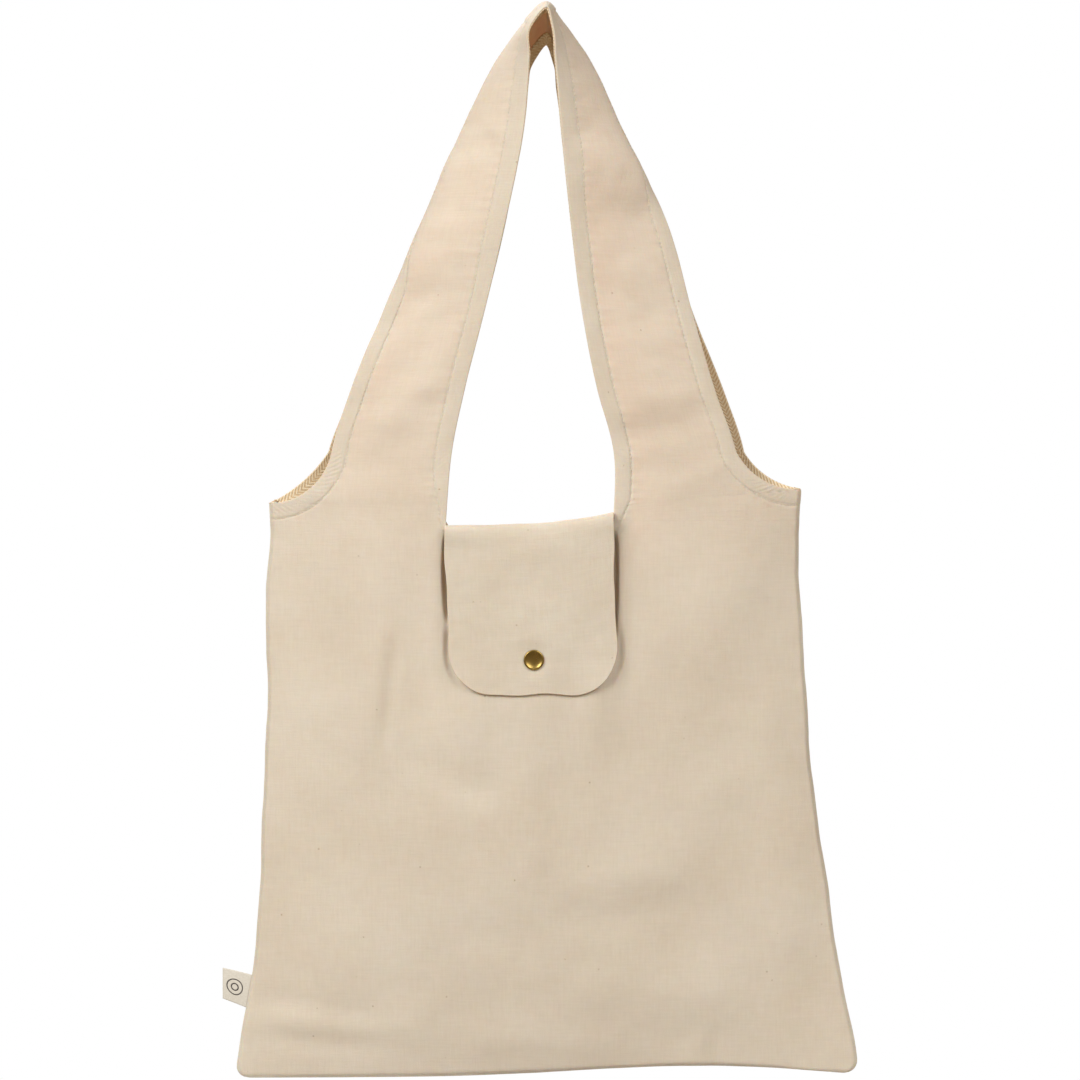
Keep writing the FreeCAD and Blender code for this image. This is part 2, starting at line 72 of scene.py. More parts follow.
def spline(keys, values, at):
    """Smooth interpolation through values at rising keys, with the slopes taken from the neighbours."""
    keys, values = np.asarray(keys, float), np.asarray(values, float)
    flat = values.ndim == 1
    if flat:
        values = values[:, None]
    slopes = np.gradient(values, keys, axis=0)
    at = np.clip(np.asarray(at, float), keys[0], keys[-1])
    i = np.clip(np.searchsorted(keys, at, side="right") - 1, 0, len(keys) - 2)
    h = (keys[i + 1] - keys[i])
    t = ((at - keys[i]) / h)[..., None]
    h = h[..., None]
    a, b, ma, mb = values[i], values[i + 1], slopes[i], slopes[i + 1]
    out = ((2 * t**3 - 3 * t**2 + 1) * a + (t**3 - 2 * t**2 + t) * h * ma
           + (-2 * t**3 + 3 * t**2) * b + (t**3 - t**2) * h * mb)
    return out[..., 0] if flat else out


def ease(x, low=0.0, high=1.0):
    """Rises smoothly from 0 at low to 1 at high."""
    t = np.clip((np.asarray(x, float) - low) / (high - low), 0, 1)
    return t * t * (3 - 2 * t)


def bump_noise(points, size, seed=0.0):
    """Smooth noise from about -1 to 1 at points, with features of about that size in mm."""
    shift = Vector((seed * 17.3, seed * 5.1, seed * 9.7))
    return np.array([noise.noise(Vector(p) / size + shift) for p in points]) * 1.6


def unit(v):
    return v / np.maximum(np.linalg.norm(v, axis=-1, keepdims=True), 1e-12)


def run_length(path):
    """Length along a path at each of its points."""
    return np.concatenate([[0], np.cumsum(np.linalg.norm(np.diff(path, axis=0), axis=1))])


def grid_faces(rows, cols, start=0):
    """Quads between the points of a grid that is stored row by row."""
    r, c = np.meshgrid(np.arange(rows - 1), np.arange(cols - 1), indexing="ij")
    a = (start + r * cols + c).ravel()
    return np.stack([a, a + 1, a + cols + 1, a + cols], 1)


def weld(points, faces):
    """Merges points that coincide. Returns the old point that each new one stands for, and the faces."""
    tolerance = 0.004
    keys = np.round(points / tolerance).astype(np.int64)
    _, first, back = np.unique(keys, axis=0, return_index=True, return_inverse=True)
    faces = back.reshape(-1)[faces]
    good = (faces[:, 0] != faces[:, 1]) | (faces[:, 2] != faces[:, 3])
    return first, faces[good]


def vertex_normals(points, faces):
    a, b, c, d = (points[faces[:, k]] for k in range(4))
    cross = np.cross(c - a, d - b)
    out = np.zeros_like(points)
    for k in range(4):
        np.add.at(out, faces[:, k], cross)
    return unit(out)


def facing(points, faces, way, at=None):
    """Faces turned so that their normals, or the one at a point, go the given way; and the normals."""
    normals = vertex_normals(points, faces)
    seen = normals.mean(0) if at is None else normals[at]
    if seen @ np.array(way, float) < 0:
        return faces[:, ::-1], -normals
    return faces, normals


def rim_edges(faces):
    """Directed edges that only one face uses."""
    edges = np.concatenate([faces[:, [k, (k + 1) % 4]] for k in range(4)])
    edges = edges[edges[:, 0] != edges[:, 1]]
    keys = np.sort(edges, 1)
    _, index, count = np.unique(keys, axis=0, return_index=True, return_counts=True)
    return edges[index[count == 1]]


def make_object(name, points, faces, uv):
    """A mesh from points in mm. Faces are quads; where two corners coincide, they become triangles."""
    mesh = bpy.data.meshes.new(name)
    polygons = []
    for face in np.asarray(faces).tolist():
        corners = [v for k, v in enumerate(face) if v != face[k - 1]]
        if len(corners) > 2:
            polygons.append(corners)
    mesh.from_pydata((np.asarray(points) * MM).tolist(), [], polygons)
    mesh.validate()
    layer = mesh.uv_layers.new(name="cloth")
    loops = np.zeros(len(mesh.loops), np.int64)
    mesh.loops.foreach_get("vertex_index", loops)
    layer.data.foreach_set("uv", (np.asarray(uv)[loops] * MM).astype(np.float32).ravel())
    mesh.polygons.foreach_set("use_smooth", [True] * len(mesh.polygons))
    mesh.update()
    obj = bpy.data.objects.new(name, mesh)
    bpy.context.scene.collection.objects.link(obj)
    return obj


def thicken(name, outer, faces, thick, uv, normals, bulge=0.25):
    """A closed layer of cloth under the outer face, with a slightly rounded rim."""
    thick = np.broadcast_to(thick, (len(outer),))[:, None]
    inner = outer - normals * thick
    count = len(outer)
    edges = rim_edges(faces)
    rim = np.unique(edges)
    place = np.full(count, -1)
    place[rim] = np.arange(len(rim)) + 2 * count
    along = np.zeros_like(outer)
    np.add.at(along, edges[:, 0], outer[edges[:, 1]] - outer[edges[:, 0]])
    np.add.at(along, edges[:, 1], outer[edges[:, 1]] - outer[edges[:, 0]])
    out = unit(np.cross(along[rim], normals[rim]))
    middle = (outer[rim] + inner[rim]) / 2 + out * np.minimum(bulge, thick[rim] * 0.4)
    points = np.concatenate([outer, inner, middle])
    a, b = edges[:, 0], edges[:, 1]
    sides = np.concatenate([np.stack([b, a, place[a], place[b]], 1),
                            np.stack([place[b], place[a], a + count, b + count], 1)])
    under = faces[:, ::-1] + count
    uv = np.concatenate([uv, uv, uv[rim]])
    obj = make_object(name, points, np.concatenate([faces, under, sides]), uv)
    obj["first_inner_face"] = len(faces)
    obj["last_inner_face"] = 2 * len(faces)
    return obj


# ---------------------------------------------------------------- the shape that the bag hangs in

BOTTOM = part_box("front_panel")[0].z / MM
# The armholes' lower arcs: distance of the centre from the middle, its height, and the radius.
ARMHOLE = {
    (FRONT, LEFT): (171.0, -281.0, 41.0),
    (BACK, LEFT): (215.0, -236.0, 96.0),
    (FRONT, RIGHT): (170.5, -268.0, 45.0),
    (BACK, RIGHT): (180.5, -263.0, 50.0),
}
# The neck: half its width, its middle, the height of its lower edge and the radius of its corners.
NECK_HALF = 54.0
NECK_MIDDLE = -2.7
NECK_Z = -346.0
NECK_R = 13.0
# The shoulders run from the top of the neck's corners up to where the straps begin.
SHOULDER_Z = NECK_Z + NECK_R
STRAP_Z = -288.0
SNAP_Z = (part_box("snap_cap")[0].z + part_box("snap_cap")[1].z) / 2 / MM

# Height, and how far the middle of the panel stands out from the bag's middle plane.
BODY_KEYS = [-693.0, -640.0, -590.0, -515.0, -424.0, -342.0, -287.0, -200.0]
BODY_SAG = [2.0, 13.5, 21.5, 27.0, 28.0, 28.0, 28.0, 28.0]
# The side seams, from the bottom up: z, then x. The bag hangs a little askew.
SIDE = {
    LEFT: ([-693, -668, -645, -610, -560, -500, -440, -385, -340, -312],
           [-193.8, -190.2, -185.6, -181.3, -177.6, -174.8, -173.2, -174.0, -171.2, -172.6]),
    RIGHT: ([-693, -668, -630, -570, -510, -440, -385, -340, -312],
            [210.3, 207.8, 199.8, 190.2, 182.0, 176.2, 172.9, 171.8, 173.6]),
}


def side_seam(hand, z):
    """X of the side seam: nearly straight below the armhole, then flaring out to the bottom."""
    return spline(*SIDE[hand], z)


def body_depth(x, z):
    """Distance of the outer face from the middle plane."""
    sag = spline(BODY_KEYS, BODY_SAG, z)
    left, right = side_seam(LEFT, z) - 0.8, side_seam(RIGHT, z) + 0.8
    across = np.clip((2 * x - left - right) / (right - left), -1, 1)
    return 1.8 + (sag - 1.0) * (1 - across**2)


def ridge(x, z, start, end, width, height):
    """A soft ridge along a line, or a valley where height is below 0."""
    a, b = np.array(start, float), np.array(end, float)
    p = np.stack([x - a[0], z - a[1]], -1)
    line = b - a
    t = np.clip((p @ line) / (line @ line), -0.15, 1.15)
    d2 = ((p - t[..., None] * line) ** 2).sum(-1)
    ends = ease(t, -0.15, 0.25) * (1 - ease(t, 0.75, 1.15))
    return height * np.exp(-d2 / (2 * width**2)) * ends


# Ridges and valleys of the hanging cloth: start, end, width, height.
PANEL_FOLDS = {
    FRONT: [
        ((-112, -318), (-104, -490), 17, 3.4), ((-66, -330), (-72, -480), 13, -2.3),
        ((-98, -396), (-103, -486), 6, 1.3), ((-88, -404), (-97, -484), 3.6, -1.5),
        ((-87, -486), (-18, -512), 8, -1.3), ((-10, -452), (0, -572), 11, 1.7),
        ((14, -470), (16, -560), 10, -0.7), ((-50, -470), (-40, -560), 12, -1.0),
        ((15, -566), (104, -556), 12, 1.1), ((12, -592), (104, -578), 9, -1.1),
        ((-60, -600), (10, -604), 10, -0.8), ((-182, -642), (-96, -656), 6, -1.2),
        ((-186, -656), (-70, -664), 7, 1.1), ((-178, -668), (-100, -674), 5, -1.1),
        ((-60, -667), (60, -674), 8, 1.2), ((20, -640), (130, -636), 11, 1.0),
        ((118, -662), (121, -688), 4, -0.9), ((106, -664), (104, -690), 5, 0.7),
        ((166, -322), (104, -420), 17, 1.8), ((150, -430), (168, -600), 18, 1.5),
        ((128, -440), (140, -580), 12, -1.2), ((-158, -420), (-166, -560), 14, 1.3),
    ],
    BACK: [
        ((128, -306), (80, -400), 13, 2.6), ((-120, -306), (-70, -390), 14, 2.4),
        ((-70, -390), (-20, -520), 12, 2.2), ((60, -420), (20, -520), 10, -2.2),
        ((-90, -590), (70, -600), 13, 2.3), ((-60, -622), (90, -618), 9, -2.2),
        ((-150, -660), (-70, -668), 7, -1.0), ((150, -640), (120, -688), 7, -1.0),
        ((0, -360), (4, -440), 14, -1.2),
    ],
}
STRAP_FOLDS = {
    FRONT: [
        ((-58, -206), (-118, -268), 7, -1.6), ((-52, -226), (-104, -282), 8, 1.5),
        ((-60, -182), (-104, -214), 6, -1.2), ((-26, -86), (-50, -98), 5, -1.5),
        ((-30, -104), (-60, -112), 7, 1.1), ((46, -282), (112, -268), 9, -1.4),
        ((48, -262), (108, -250), 8, 1.3), ((36, -112), (72, -150), 7, -1.5),
        ((30, -88), (56, -112), 7, 1.2), ((40, -178), (84, -208), 8, -1.2),
    ],
    BACK: [
        ((50, -230), (110, -270), 8, -1.6), ((48, -206), (100, -240), 8, 1.4),
        ((-40, -150), (-80, -190), 7, -1.4), ((-52, -260), (-110, -286), 8, -1.5),
        ((28, -96), (54, -112), 6, -1.3), ((-30, -90), (-50, -110), 6, 1.2),
    ],
}


def neck_distance(x, z):
    """Distance from the neck's edge, measured into the cloth."""
    x = np.abs(x - NECK_MIDDLE)
    dx, dz = x - (NECK_HALF - NECK_R), SHOULDER_Z - z
    corner = np.hypot(np.maximum(dx, 0), np.maximum(dz, 0)) - NECK_R
    return np.where(dz < 0, x - NECK_HALF, np.where(dx < 0, NECK_Z - z, corner))


def armhole_near(face, x):
    """The arc of the armhole on x's own side: its centre's distance and height, and its radius."""
    left, right = ARMHOLE[face, LEFT], ARMHOLE[face, RIGHT]
    return (np.where(np.asarray(x) < 0, a, b) for a, b in zip(left, right))


def armhole_distance(face, x, z):
    """Distance from the armhole's edge on x's own side, measured into the cloth."""
    centre_x, centre_z, radius = armhole_near(face, x)
    return np.hypot(centre_x - np.abs(x), z - centre_z) - radius


def armhole_run(face, x, z):
    """Length along the armhole's arc, from straight under its centre."""
    centre_x, centre_z, radius = armhole_near(face, x)
    return radius * np.arctan2(centre_x - np.abs(x), centre_z - z)


# The neck's hem starts to narrow at these heights, and is 1 + NARROWING times narrower at the last.
NARROW_FROM = {LEFT: -292.0, RIGHT: -312.0}
NARROW_TO = -345.0
NARROWING = 2.2


def neck_narrowing(x, z):
    """How many times narrower the neck's hem is than HEM: it tapers off under the flap."""
    start = np.where(np.asarray(x) < 0, NARROW_FROM[LEFT], NARROW_FROM[RIGHT])
    t = np.clip((start - np.asarray(z)) / (start - NARROW_TO), 0, 1)
    return 1 + NARROWING * ease(t) ** 2


def side_edge(hand, z):
    """X of the side seam, a little wavy, with the bottom corners rounded."""
    z = np.asarray(z, float)
    corner = 9.0
    low = bottom_edge(hand * 190.0)
    inset = corner - np.sqrt(np.clip(corner**2 - np.clip(low + corner - z, 0, corner) ** 2, 0, None))
    wave = 0.4 * np.sin(z / 23.0 + hand) + 0.3 * np.sin(z / 9.0 + 2 * hand)
    return side_seam(hand, z) + hand * (wave * ease(-z, 340, 380) - inset)


def bottom_edge(x):
    """Z of the bottom seam, which sags unevenly."""
    return spline([-200, -120, -60, 0, 60, 110, 150, 185, 212],
                  [-695.0, -694.7, -693.9, -691.9, -688.9, -687.3, -688.7, -691.6, -692.2], x)


# Cross-sections of a strap, as seen from the front, from its base up to the crown.
# Neck edge: z, left x, right x, depth. Outer side: z, left x, right x, depth.
STRAP = {
    FRONT: [
        (-336.0, -56.7, 51.3, 25.2, -336.0, -135.0, 135.0, 12.0),
        (-288.0, -52.6, 51.2, 26.4, -288.0, -130.3, 130.3, 12.9),
        (-250.0, -44.6, 40.9, 29.0, -250.0, -118.8, 117.2, 14.0),
        (-200.0, -31.9, 31.0, 32.5, -200.0, -98.4, 102.6, 13.5),
        (-140.0, -17.8, 23.6, 36.5, -140.0, -72.4, 86.0, 9.0),
        (-80.0, -6.4, 17.4, 39.0, -80.0, -46.0, 57.0, 5.0),
        (-38.0, -3.4, 14.0, 40.0, -36.0, -24.2, 36.2, 3.0),
        (-19.0, -3.4, 12.6, 40.2, -11.0, -6.4, 19.6, 2.0),
        (-5.8, 8.5, 8.5, 40.2, 2.4, 8.5, 8.5, 1.2),
    ],
    BACK: [
        (-336.0, -58.4, 52.8, 25.2, -336.0, -140.0, 140.0, 10.5),
        (-288.0, -54.8, 53.2, 26.4, -288.0, -134.5, 137.4, 11.4),
        (-250.0, -46.8, 43.8, 29.0, -250.0, -119.6, 124.8, 13.0),
        (-200.0, -34.4, 34.0, 32.5, -200.0, -98.8, 105.0, 13.0),
        (-140.0, -20.0, 26.4, 36.5, -140.0, -71.4, 84.0, 9.0),
        (-80.0, -9.5, 19.6, 39.0, -80.0, -45.2, 56.0, 5.0),
        (-46.0, -5.0, 15.6, 40.0, -36.0, -23.6, 35.6, 3.0),
        (-30.0, -2.2, 14.0, 40.2, -11.0, -5.4, 19.0, 2.0),
        (-17.0, 8.5, 8.5, 40.2, 2.4, 8.5, 8.5, 1.2),
    ],
}
# Heights between which the outer edge of each strap starts to roll in behind.
ROLL = {LEFT: (-194.0, -146.0), RIGHT: (-142.0, -92.0)}

# Distances of the mesh's columns from the edge of the cloth in a hem, where they lie close together.
HEM_STEPS = [0.0, 0.5, 1.2, 2.0, 2.8, 3.5, 4.2, 4.9, 5.6, 6.3, 7.0, 7.7, 8.4, 9.0, 9.6, 10.1, 10.6, 11.1,
             11.8, 13.0]
MIDDLE_COLUMNS = 62
SHOULDER_ROWS = 100
STRAP_ROW = 1.25
# The share of the shoulder's rows that end on the side seam; the others end on the armhole.
SEAM_SHARE = 0.2


def leg_columns(width):
    """Distances from the neck edge of the columns across a leg, dense in both hems."""
    near = np.array(HEM_STEPS)
    far = width[:, None] - near[::-1]
    t = 1 - (1 - np.linspace(0, 1, MIDDLE_COLUMNS + 2)[1:-1]) ** 1.35
    between = near[-1] + (width[:, None] - 2 * near[-1]) * t
    return np.concatenate([np.broadcast_to(near, far.shape), between, far], 1)


def leg_sections(face, hand):
    """Stations up one leg: the path's length, and the neck-side and outer points."""
    keys = np.array(STRAP[face])
    inner_columns = {LEFT: [1, 3, 0], RIGHT: [2, 3, 0]}
    outer_columns = {LEFT: [5, 7, 4], RIGHT: [6, 7, 4]}
    # Past the crown the path goes one station down the other leg, so that it is level at the crown.
    inner = np.vstack([keys[:, inner_columns[hand]], keys[-2, inner_columns[-hand]]])
    outer = np.vstack([keys[:, outer_columns[hand]], keys[-2, outer_columns[-hand]]])
    length = run_length((inner + outer) / 2)
    fine = np.linspace(0, length[-2], 1200)
    return fine, spline(length, inner, fine), spline(length, outer, fine)


def shoulder_edge(face, hand, t):
    """Outer ends of the shoulder's rows, at t from 0 to 1: up the side seam, then along the armhole."""
    cx, cz, radius = ARMHOLE[face, hand]
    tip_x = abs(float(side_edge(hand, -318.0)))
    tip_angle = math.asin((cx - tip_x) / radius)
    tip_z = cz - radius * math.cos(tip_angle)
    end_angle = math.acos((cz - STRAP_Z) / radius)
    along = np.clip((t - SEAM_SHARE) / (1 - SEAM_SHARE), 0, 1) ** 0.62
    angle = tip_angle + (end_angle - tip_angle) * along
    on_seam = t < SEAM_SHARE
    z_seam = SHOULDER_Z + (tip_z - SHOULDER_Z) * t / SEAM_SHARE
    x = np.where(on_seam, np.abs(side_edge(hand, z_seam)), cx - radius * np.sin(angle)) * hand
    return x, np.where(on_seam, z_seam, cz - radius * np.cos(angle)), end_angle


def strap_curve(inn, out, a, roll, hand):
    """Points across a strap, which bows outwards and whose outer edge curls in behind."""
    chord = out - inn
    span = np.linalg.norm(chord, axis=1)[:, None]
    up = unit(np.gradient((inn + out) / 2, axis=0))
    bow = unit(np.cross(chord, up)) * hand
    bow = np.where((bow[:, 1] + 0.3 * bow[:, 0] * hand + 0.5 * bow[:, 2] < 0)[:, None], -bow, bow)
    k = roll[:, None]
    near = inn + chord * (0.34 - 0.02 * k) + bow * span * (0.035 + 0.07 * k)
    far = inn + chord * (0.67 + 0.42 * k) + bow * span * (0.035 + 0.23 * k)
    b = a[..., None]
    curve = ((1 - b) ** 3 * inn[:, None] + 3 * (1 - b) ** 2 * b * near[:, None]
             + 3 * (1 - b) * b**2 * far[:, None] + b**3 * out[:, None])
    # The outer side keeps its place as seen from the front, however much it curls.
    reach = (curve[..., 0] * hand).max(1)
    start, want = inn[:, 0] * hand, out[:, 0] * hand
    scale = np.where(reach - start > 4, (want - start) / np.maximum(reach - start, 1e-6), 1.0)
    scale = np.clip(scale, 0.7, 1.0)[:, None]
    curve[..., 0] = inn[:, None, 0] + (curve[..., 0] - inn[:, None, 0]) * scale
    return curve


def leg_grid(face, hand):
    """Base points, distances to the two hems and cloth coordinates of one leg, from shoulder to crown."""
    length, inner, outer = leg_sections(face, hand)
    base = np.searchsorted(inner[:, 2], STRAP_Z)
    t = np.linspace(0, 1, SHOULDER_ROWS, endpoint=False)
    z_in = SHOULDER_Z + (STRAP_Z - SHOULDER_Z) * t
    shoulder_length = np.interp(z_in, inner[: base + 1, 2], length[: base + 1])
    strap_length = np.append(np.arange(length[base], length[-1], STRAP_ROW), length[-1])
    s = np.concatenate([shoulder_length, strap_length])
    inn, out = (np.stack([np.interp(s, length, side[:, k]) for k in range(3)], 1) for side in (inner, outer))
    roll = ease(out[:, 2], *ROLL[hand]) * (1 - 0.75 * ease(out[:, 2], -38, 0))
    # The strap's stations meet the armhole's arc at its top; the small difference fades out up the strap.
    x_edge, z_edge, end_angle = shoulder_edge(face, hand, t)
    cx, _, radius = ARMHOLE[face, hand]
    gap = (cx - radius * math.sin(end_angle)) - np.abs(outer[base, 0])
    edge_x = np.abs(out[:, 0]) + gap * (1 - ease(s, length[base], length[base] + 45))
    out[:, 0] = edge_x * np.sign(out[:, 0] + 1e-9 * hand)
    out[:SHOULDER_ROWS, 0], out[:SHOULDER_ROWS, 2] = x_edge, z_edge

    width = np.linalg.norm(out - inn, axis=1)
    columns = leg_columns(width)
    a = columns / width[:, None]
    # Low down, a row is straight as seen from the front, and its depth is the panel's.
    x = inn[:, None, 0] + (out - inn)[:, None, 0] * a
    z = inn[:, None, 2] + (out - inn)[:, None, 2] * a
    body = np.stack([x, body_depth(x, z), z], -1)
    blend = ease(inn[:, 2], SHOULDER_Z, -262.0)[:, None, None]
    points = body * (1 - blend) + strap_curve(inn, out, a, roll, hand) * blend
    points[..., 1] *= face
    up_length = np.concatenate([[0], np.cumsum(np.linalg.norm(np.diff(points, axis=0), axis=2).mean(1))])
    in_shoulder = (np.arange(len(s)) < SHOULDER_ROWS)[:, None]
    mix = (1 - ease(inn[:, 2], -300, STRAP_Z))[:, None] * in_shoulder
    from_outer = width[:, None] - columns
    hem_out = np.where(in_shoulder, armhole_distance(face, x, z) * mix + from_outer * (1 - mix), from_outer)
    beyond_arc = up_length - up_length[SHOULDER_ROWS] + radius * end_angle
    return {
        "points": points,
        "hem_in": columns * neck_narrowing(x, z),
        "hem_out": hem_out,
        "along_in": np.broadcast_to(up_length[:, None], columns.shape),
        "along_out": np.where(in_shoulder, armhole_run(face, x, z), beyond_arc[:, None]),
        "uv": np.stack([hand * (NECK_HALF + columns), SHOULDER_Z + up_length[:, None] + 0 * columns], -1),
        "columns": columns,
    }


# Rows of the panel: steps up from its bottom seam and down from the shoulders, with even ones between.
BOTTOM_STEPS = [0, 0.5, 1.1, 1.9, 3.0, 4.6, 6.6, 9.0, 12.0]
TOP_STEPS = [14.0, 12.8, 11.8, 11.1, 10.6, 10.1, 9.6, 8.8, 7.6, 6.2, 4.8, 3.4, 2.2, 1.2, 0.5, 0.0]
BODY_ROWS = 118
NECK_COLUMNS = 91
# How many times further out a column ends at the bottom than at the top, roughly.
WIDENING = 1.12


def neck_outline():
    """X and z of the columns along the neck's lower edge, closer together in its corners."""
    crowd = 0.86 * math.pi / 2
    t = (np.sin(np.linspace(-crowd, crowd, NECK_COLUMNS + 2)) / math.sin(crowd))[1:-1]
    dx = np.maximum(np.abs(NECK_HALF * t) - (NECK_HALF - NECK_R), 0)
    drop = np.where(dx > 0, np.sqrt(np.maximum(NECK_R**2 - dx**2, 0)), NECK_R)
    return NECK_MIDDLE + NECK_HALF * t, SHOULDER_Z - drop


def lower_grid(face, legs):
    """Base points of the panel below the shoulders, whose top row runs on into both legs."""
    left_top, right_top = legs[LEFT]["points"][0], legs[RIGHT]["points"][0]
    neck_x, neck_z = neck_outline()
    top_x = np.concatenate([left_top[::-1, 0], neck_x, right_top[:, 0]])
    top_z = np.concatenate([left_top[::-1, 2], neck_z, right_top[:, 2]])
    low = bottom_edge(top_x * WIDENING)
    rows = [low + step for step in BOTTOM_STEPS]
    for k in range(1, BODY_ROWS):
        f = k / BODY_ROWS
        rows.append((low + BOTTOM_STEPS[-1]) * (1 - f) + (top_z - TOP_STEPS[0]) * f)
    rows += [top_z - step for step in TOP_STEPS]
    z = np.array(rows)
    x = np.empty_like(z)
    count, near = len(left_top), len(HEM_STEPS)
    x[:, count:-count] = neck_x
    # The columns of the hems keep their distance from the neck and from the side; the others spread out.
    for hand, block in ((LEFT, slice(0, count)), (RIGHT, slice(-count, None))):
        order = slice(None, None, hand)
        top = (top_x[block] * hand)[order]
        columns = np.empty((len(z), count))
        columns[:, :near] = top[:near]
        edge = (side_edge(hand, z[:, block]) * hand)[:, order]
        columns[:, -near:] = edge[:, -near:] - (top[-1] - top[-near:])
        t = (top[near:-near] - top[near - 1]) / (top[-near] - top[near - 1])
        start, stop = columns[:, near - 1, None], columns[:, -near, None]
        columns[:, near:-near] = start + (stop - start) * t
        x[:, block] = (columns * hand)[:, order]
    points = np.stack([x, face * body_depth(x, z), z], -1)
    points[-1, :count] = left_top[::-1]
    points[-1, -count:] = right_top
    side = np.minimum(side_edge(RIGHT, z) - x, x - side_edge(LEFT, z))
    return {"points": points, "edge": np.minimum(side, z - bottom_edge(x)), "uv": np.stack([x, z], -1)}


def canvas_piece(face):
    """The panel and its strap loop in one cloth: points, faces and what the hems need to know."""
    legs = {hand: leg_grid(face, hand) for hand in (LEFT, RIGHT)}
    lower = lower_grid(face, legs)
    x, z = lower["points"][..., 0], lower["points"][..., 2]
    lower.update(hem_in=neck_distance(x, z) * neck_narrowing(x, z), hem_out=armhole_distance(face, x, z),
                 along_in=x, along_out=armhole_run(face, x, z), leg=np.zeros(x.shape))
    for hand, leg in legs.items():
        # A leg's side seam is only as long as its shoulder.
        leg["edge"] = (side_edge(hand, leg["points"][..., 2]) - leg["points"][..., 0]) * hand
        leg["edge"][SHOULDER_ROWS:] = 1e3
        leg["leg"] = np.full(leg["edge"].shape, hand)
    grids = [legs[LEFT], legs[RIGHT], lower]
    faces, start = [], 0
    for grid, mirrored in zip(grids, (True, False, False)):
        rows, columns = grid["edge"].shape
        quads = grid_faces(rows, columns, start)
        faces.append(quads[:, ::-1] if mirrored != (face == BACK) else quads)
        start += rows * columns
    piece = {}
    for name in ("points", "hem_in", "hem_out", "edge", "along_in", "along_out", "uv", "leg"):
        size = grids[0][name].shape[2:]
        piece[name] = np.concatenate([grid[name].reshape(-1, *size) for grid in grids])
    keep, faces = weld(piece["points"], np.concatenate(faces))
    piece = {name: values[keep] for name, values in piece.items()}
    piece.update(faces=faces, legs=legs)
    return piece


def relief(face, piece):
    """How far the cloth stands out of its base shape: folds, hems and the softness of the cloth."""
    p = piece["points"]
    x, z = p[:, 0], p[:, 2]
    out = np.zeros(len(p))
    body = 1 - ease(z, -330, -296)
    strap = 1 - body
    for fold in PANEL_FOLDS[face]:
        out += ridge(x, z, *fold) * (1 - ease(z, -322, -292))
    inside = ease(np.minimum(piece["edge"], 60), 0, 40)
    out += 1.2 * bump_noise(p, 90, 1 + face) * body * inside
    out += 0.55 * bump_noise(p, 38, 3 + face) * body * inside
    out += 0.13 * bump_noise(p, 13, 5 + face)
    # Soft wrinkles across the straps.
    stretched = p * np.array([0.45, 0.45, 1.0])
    middle_band = ease(np.minimum(piece["hem_in"], piece["hem_out"]), 4, 18)
    wrinkles = 1.0 * bump_noise(stretched, 34, 7 + face) + 0.45 * bump_noise(stretched, 15, 9 + face)
    out += strap * middle_band * wrinkles
    for fold in STRAP_FOLDS[face]:
        out += strap * ridge(x, z, *fold)
    # Puckers along the side and bottom seams.
    pucker = np.sin(z / 3.4 + 2.0 * bump_noise(p, 20, 11)) * np.exp(-piece["edge"] / 5.0)
    out += 0.25 * pucker * body * (piece["edge"] < 30)
    out += hem_relief(piece, x, z)
    if face == FRONT:
        out += flap_hollows(x, z)
    return out


def hem_relief(piece, x, z):
    """A hem's folded edge is fuller, its stitches sink in, and it ropes a little on the bias."""
    out = np.zeros(len(x))
    uneven = 0.55 + 0.6 * bump_noise(piece["points"], 24, 13)
    pulled_flat = ease(z, -230, -110)
    for side, lean, narrow in (("in", 1, neck_narrowing(x, z)), ("out", -1, 1.0)):
        distance, along = piece["hem_" + side], piece["along_" + side]
        d = np.clip(distance, 0, 40)
        swell = np.sin(np.pi * np.clip(d / HEM, 0, 1))
        full = 0.36 * swell**0.7 * (1 - 0.6 * pulled_flat)
        sunk = -0.5 * np.exp(-(((d - HEM) / (0.62 * narrow)) ** 2)) * (1 - 0.75 * pulled_flat)
        rope = 0.13 * uneven * (np.sin(2 * np.pi * (along / 3.2 + lean * d / 3.6)) * swell)
        beyond = 0.14 * np.sin(2 * np.pi * along / 7.5) * np.exp(-np.maximum(d - HEM, 0) / 5) * (d > HEM)
        out += np.where(distance < 30, full + sunk + rope + beyond, 0)
    return out


def flap_hollows(x, z):
    """The panel falls back beside the flap's upper edges and, less so, at its round corners."""
    out = np.zeros(len(x))
    corner_x, corner_z = FLAP_HALF - FLAP_CORNER, FLAP_PATH[-1, 2] + FLAP_CORNER
    for hand, low, edge, bulge, dip in ((LEFT, 398.0, 56.5, 1.8, -3.6), (RIGHT, 412.0, 52.6, 0.8, -2.0)):
        beside = x * hand - edge
        tall = ease(-z, 338, 350) * (1 - ease(-z, low - 8, low + 4))
        wide = bulge * np.sin((-z - 338) / 60 * np.pi)
        hollow = ease(beside, -22, -8) * (1 - ease(beside, wide - 1.0, wide + 1.6))
        lip = np.exp(-(((beside - wide - 4) / 5.0) ** 2))
        out += tall * (-5.0 * hollow + 0.8 * lip)
        outside = np.hypot(np.maximum(x * hand - corner_x, 0), np.maximum(corner_z - z, 0)) - FLAP_CORNER
        around = ease(outside, -16, -4) * (1 - ease(outside, 2.0, 6.4)) * ease(x * hand, 26, 40)
        out += dip * around * ease(-z, 398, 410) * (1 - ease(-z, 436, 446))
    return out


